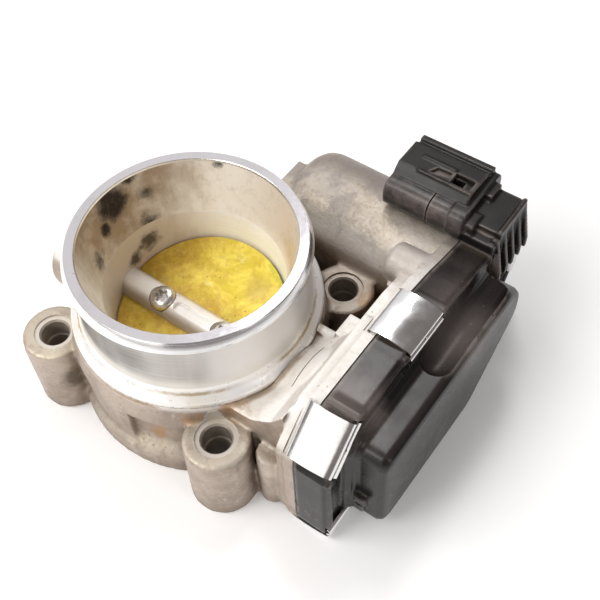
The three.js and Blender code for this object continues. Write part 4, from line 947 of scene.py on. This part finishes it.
def connector_housing():
    near, far, low, high = 46.1, 66.4, 37.2, 45.6
    outline = rounded([(near, low), (far, low), (far, high), (near, high)], 3.4)
    ring = rounded([(near - 0.5, low + 0.4), (far + 0.4, low + 0.4), (far + 0.4, high + 0.3),
                    (near - 0.5, high + 0.3)], 3.4)
    latch = [(50.9, 44), (63.8, 44), (63.8, 45.9), (61.6, 47.9), (53.2, 47.9), (50.9, 45.8)]
    shapes = [
        prism(outline, (25.3, 46)),
        prism(latch, (25.3, 46.6)),
        prism(ring, (43.9, 48.3)),
        box((25.3, 46.6), (64.1, 65.9), (44, 46.9)),
        box((29.8, 39.4), (57.9, 58.4), (47, 48.25)),
        box((31, 46.4), (52.9, 53.4), (47, 48.15)),
        box((46, 50.2), (57.6, 63), (42, 45.2)),
        box((46.4, 50.8), (47, 52.4), (41, 44)),
        box((47.5, 57), (49.4, 63), (30, 43.5)),
        box((48.6, 57.3), (46.4, 51), (38.4, 41.4)),
        box((48, 57.2), (47.2, 52), (29.6, 39)),
        box((56.4, 57.5), (49.6, 63.4), (34, 44)),
        box((50.5, 57.5), (52.5, 56), (28.2, 31)),
    ]
    for y in (47.6, 51.2, 54.8, 58.4, 61.9):
        web = [(56, 28), (59.9, 28), (59.9, 31), (57.5, 42.6), (56, 42.6)]
        shapes.append(prism(web, (y, y + 1.3), "Y"))
    body = moulded(shapes, 0.27, 2)
    cavity = [(48.1, 38.9), (64.4, 38.9), (64.4, 43.7), (62, 43.7), (62, 46.4), (52.8, 46.4), (52.8, 43.7),
              (48.1, 43.7)]
    cutters = [
        prism(cavity, (24, 40)),
        box((39.8, 45.4), (53.9, 57.6), (46.4, 50)),
        box((39.8, 43), (54.4, 57.2), (40.8, 47)),
        prism([(33.6, 54.2), (39, 55), (39, 57), (35, 56.8)], (46.9, 50), "Z"),
        box((49.3, 55), (48.9, 61.6), (26, 40.6)),
        box((37.9, 38.3), (44, 50.8), (42.6, 50)),
        box((37.9, 38.3), (44, 46.5), (38, 50)),
    ]
    for i in range(6):
        y = (near + far) / 2 + (i - 2.5) * 2.4
        cutters.append(box((39, 56), (y - 0.8, y + 0.8), (40.6, 41.8)))
    carved(body, cutters)

    def pick(c, nrm):
        return (nrm[:, 1] < -0.8) & (c[:, 1] < 48.5) & (c[:, 2] < 38.4) & (c[:, 0] > 48)

    obj = finished(body, "connector_housing", "housing_assembly", [CONNECTOR, GREY_FILM], pick, 40)
    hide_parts("gear_cover")


# ---------- clips ----------
def softened(points, rounds=3):
    """Chaikin corner cutting that keeps both ends."""
    for _ in range(rounds):
        fresh = [points[0]]
        for a, b in zip(points, points[1:]):
            fresh.append((a[0] * 0.75 + b[0] * 0.25, a[1] * 0.75 + b[1] * 0.25))
            fresh.append((a[0] * 0.25 + b[0] * 0.75, a[1] * 0.25 + b[1] * 0.75))
        fresh.append(points[-1])
        points = fresh
    return points


def strip_outline(centre, thickness):
    left, right = [], []
    for i, (x, z) in enumerate(centre):
        ax, az = centre[max(i - 1, 0)]
        bx, bz = centre[min(i + 1, len(centre) - 1)]
        length = math.hypot(bx - ax, bz - az)
        nx, nz = -(bz - az) / length, (bx - ax) / length
        left.append((x + nx * thickness / 2, z + nz * thickness / 2))
        right.append((x - nx * thickness / 2, z - nz * thickness / 2))
    return left + right[::-1]


def clip_strip(index, place):
    bend = [(45.75, -0.4), (45.75, 0.1), (46.0, 0.55), (46.8, 0.84), (48.4, 1.02), (50.2, 1.06),
            (51.9, 0.94), (53.6, 0.70), (55.3, 0.38), (56.4, 0.06), (57.05, -0.4), (57.1, -1.1),
            (56.55, -1.5), (56.55, -1.9), (57.25, -2.3), (57.5, -3.1), (57.1, -3.9), (56.55, -4.2)]
    outline = strip_outline(softened(bend), 0.46)
    half = CLIP_WIDTH / 2
    strip = prism(outline, (-half, half), "Y")
    obj = working([on_edge(strip, place)])
    nick = on_edge(box((56, 58.4), (-0.55, 0.35), (-2.15, -1.35)), place)
    combine(obj, working([nick]), "DIFFERENCE")
    name = f"cover_clip_{index + 1}"
    obj = finished(obj, f"clip_strip_{index + 1}", "housing_assembly", [CLIP], None, 30)
    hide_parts(name)


# ---------- throttle valve ----------
REST = Matrix.Translation((0, *SHAFT_AT)) @ Matrix.Rotation(math.radians(CLOSED_TILT), 4, "X")


def stadium(half_length, r, steps=12):
    turn = np.linspace(-math.pi / 2, math.pi / 2, steps)
    end = [(half_length + r * math.cos(a), r * math.sin(a)) for a in turn]
    return end + [(-x, -y) for x, y in end]


def throttle_shaft():
    bar = [(0, -38), (3.7, -38), (4.2, -37.4), (4.2, 26.6), (4, 26.7), (4, 46.6), (3.6, 47), (3.6, 53),
           (0, 53)]
    body = working([lathe(bar, 96, "X")])
    cutters = [box((-23, 23), (-10, 10), (-1.1, 1.1)), prism(stadium(4.5, 1.5), (2.9, 6), "Z")]
    for x in SCREW_PLACES:
        cutters.append(lathe([(0, 2.2), (3.65, 2.2), (3.65, 4.6), (0, 4.6)], 48, "Z", (x, 0)))
        cutters.append(rod(2.3, (-6, 3), "Z", (x, 0)))
    carved(body, cutters)
    body.data.transform(REST)
    obj = finished(body, "valve_shaft", "throttle_valve", [SHAFT], None, 25)
    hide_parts("throttle_shaft")


def throttle_plate():
    lean = Matrix.Rotation(math.radians(PLATE_LEAN), 4, "X")
    body = working([turned(lathe([(0, -0.8), (30, -0.8), (30, 0.8), (0, 0.8)], 64), lean)])
    column = lathe([(0, -15), (22.5, -15), (22.5, 15), (0, 15)], 200, "Z", (0, -SHAFT_AT[0]))
    combine(body, working([column]), "INTERSECT")
    body.data.transform(lean.inverted())
    for x in SCREW_PLACES:
        combine(body, working([rod(2.3, (-3, 3), "Z", (x, 0))]), "DIFFERENCE")
    body.data.transform(REST)
    obj = finished(body, "valve_plate", "throttle_valve", [PLATE], None, 30)
    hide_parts("throttle_plate")


def plate_screw(index, x):
    dome = [(3.35, 2.5), (3.5, 2.9), (3.45, 3.7), (3.2, 4.3), (2.7, 4.7), (1.9, 4.9), (0, 4.95)]
    body = working([lathe([(0, -4.4), (1.6, -4.4), (2, -3.9), (2, 2.5)] + dome, 72)])
    star = [((1.7 + 0.36 * math.cos(6 * a)) * math.cos(a), (1.7 + 0.36 * math.cos(6 * a)) * math.sin(a))
            for a in np.linspace(0, 2 * math.pi, 72, endpoint=False)]
    combine(body, working([prism(star, (3.0, 6), "Z")]), "DIFFERENCE")
    body.data.transform(REST @ Matrix.Translation((x, 0, 0)) @ Matrix.Rotation(0.35, 4, "Z"))
    obj = finished(body, f"valve_screw_{index}", "throttle_valve", [SCREW], None, 28)
    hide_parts(f"plate_screw_{index}")


housing_cast()
housing_collar()
cover_shell()
connector_housing()
for number, spot in enumerate(clip_places):
    clip_strip(number, spot)
throttle_shaft()
throttle_plate()
for number, spot in enumerate(SCREW_PLACES, 1):
    plate_screw(number, spot)

# ---------- carried CAD nodes ----------
carried = (
    (BEARING, "needle_bearing shaft_end_plug bearing_outer_ring bearing_inner_ring bearing_balls"),
    (BEARING, "return_spring motor_wave_washer"),
    (RUBBER, "shaft_seal cover_gasket"),
    (CAN, "shaft_lever motor_can motor_mounting_plate"),
    (GEAR, "spring_guide sector_gear intermediate_gear"),
    (PIN, "gear_pin motor_shaft"),
    (SCREW, "closed_stop_screw motor_screw_1 motor_screw_2"),
    (FERRITE, "position_magnet motor_magnet_1 motor_magnet_2 motor_brush_1 motor_brush_2"),
    (BRASS, "motor_rear_bush motor_terminal_1 motor_terminal_2 motor_commutator motor_pinion"),
    (BRASS, " ".join(f"connector_pin_{i}" for i in range(1, 7))),
    (PART_BLACK, "brush_holder sensor_chip"),
    (WINDING, "motor_armature"),
    (BOARD, "sensor_board"),
)
looks = {name: material for material, names in carried for name in names.split()}
EDGE_WIDTH = 0.12 * MM
for name, material in looks.items():
    node = nodes[name]
    node.data.materials.clear()
    node.data.materials.append(material)
    node.material_slots[0].material = material
    edge = node.modifiers.new("soft_edges", "BEVEL")
    edge.width = EDGE_WIDTH
    edge.segments = 2
    edge.limit_method = "ANGLE"
    edge.angle_limit = math.radians(40)


# ---------- floor and light ----------
def make_stage():
    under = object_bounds()[0][2] - 0.3 * MM
    bpy.ops.mesh.primitive_plane_add(size=6, location=(0, 0, under))
    floor = bpy.context.object
    floor.name = "floor"
    n = Nodes("floor_paper")
    tone = n.mix(n.step(n.noise(8, 3), 0.3, 0.7), (0.93, 0.93, 0.93), (0.95, 0.95, 0.95))
    n.done(tone, 0.9, 0, None, Emission_Color=(1, 1, 1, 1), Emission_Strength=0.14)
    floor.data.materials.append(n.material)


def area_light(name, place, target, size, power, color=(1, 1, 1)):
    data = bpy.data.lights.new(name, "AREA")
    data.shape = "RECTANGLE"
    data.size, data.size_y = size
    data.energy = power
    data.color = color
    light = bpy.data.objects.new(name, data)
    light.location = place
    light.rotation_euler = (Vector(target) - Vector(place)).to_track_quat("-Z", "Y").to_euler()
    scene.collection.objects.link(light)


make_stage()
middle = (0.01, 0.01, 0.025)
area_light("key_softbox", (-0.30, -0.42, 0.72), middle, (0.55, 0.45), 4.2, (1, 0.985, 0.96))
area_light("top_softbox", (-0.155, 0.325, 0.74), middle, (0.15, 0.22), 1.5)
area_light("front_card", (-0.10, -0.80, 0.30), middle, (0.75, 0.42), 1.2, (1, 0.98, 0.95))
area_light("side_strip", (0.75, -0.05, 0.45), middle, (0.22, 0.5), 1.0)


def smooth_range(tree, source, start, end, low=0, high=1):
    node = tree.nodes.new("ShaderNodeMapRange")
    node.interpolation_type = "SMOOTHSTEP"
    for name, value in zip(("From Min", "From Max", "To Min", "To Max"), (start, end, low, high)):
        node.inputs[name].default_value = value
    tree.links.new(source, node.inputs["Value"])
    return node.outputs[0]


def make_world():
    """A sky that is bright high on the -X side and warm grey elsewhere."""
    world = bpy.data.worlds.new("studio")
    world.use_nodes = True
    tree = world.node_tree
    sky = tree.nodes["Background"]
    sky.inputs["Strength"].default_value = 0.85
    split = tree.nodes.new("ShaderNodeSeparateXYZ")
    tree.links.new(tree.nodes.new("ShaderNodeTexCoord").outputs["Generated"], split.inputs[0])
    blend = tree.nodes.new("ShaderNodeMath")
    blend.operation = "MULTIPLY"
    tree.links.new(smooth_range(tree, split.outputs["Z"], 0.05, 0.62), blend.inputs[0])
    tree.links.new(smooth_range(tree, split.outputs["X"], -0.38, 0.02, 1, 0), blend.inputs[1])
    tint = tree.nodes.new("ShaderNodeMix")
    tint.data_type = "RGBA"
    tint.inputs["A"].default_value = (0.24, 0.215, 0.21, 1)
    tint.inputs["B"].default_value = (1, 0.985, 1, 1)
    tree.links.new(blend.outputs[0], tint.inputs["Factor"])
    tree.links.new(tint.outputs["Result"], sky.inputs["Color"])
    scene.world = world


make_world()
scene.view_settings.view_transform = "Standard"
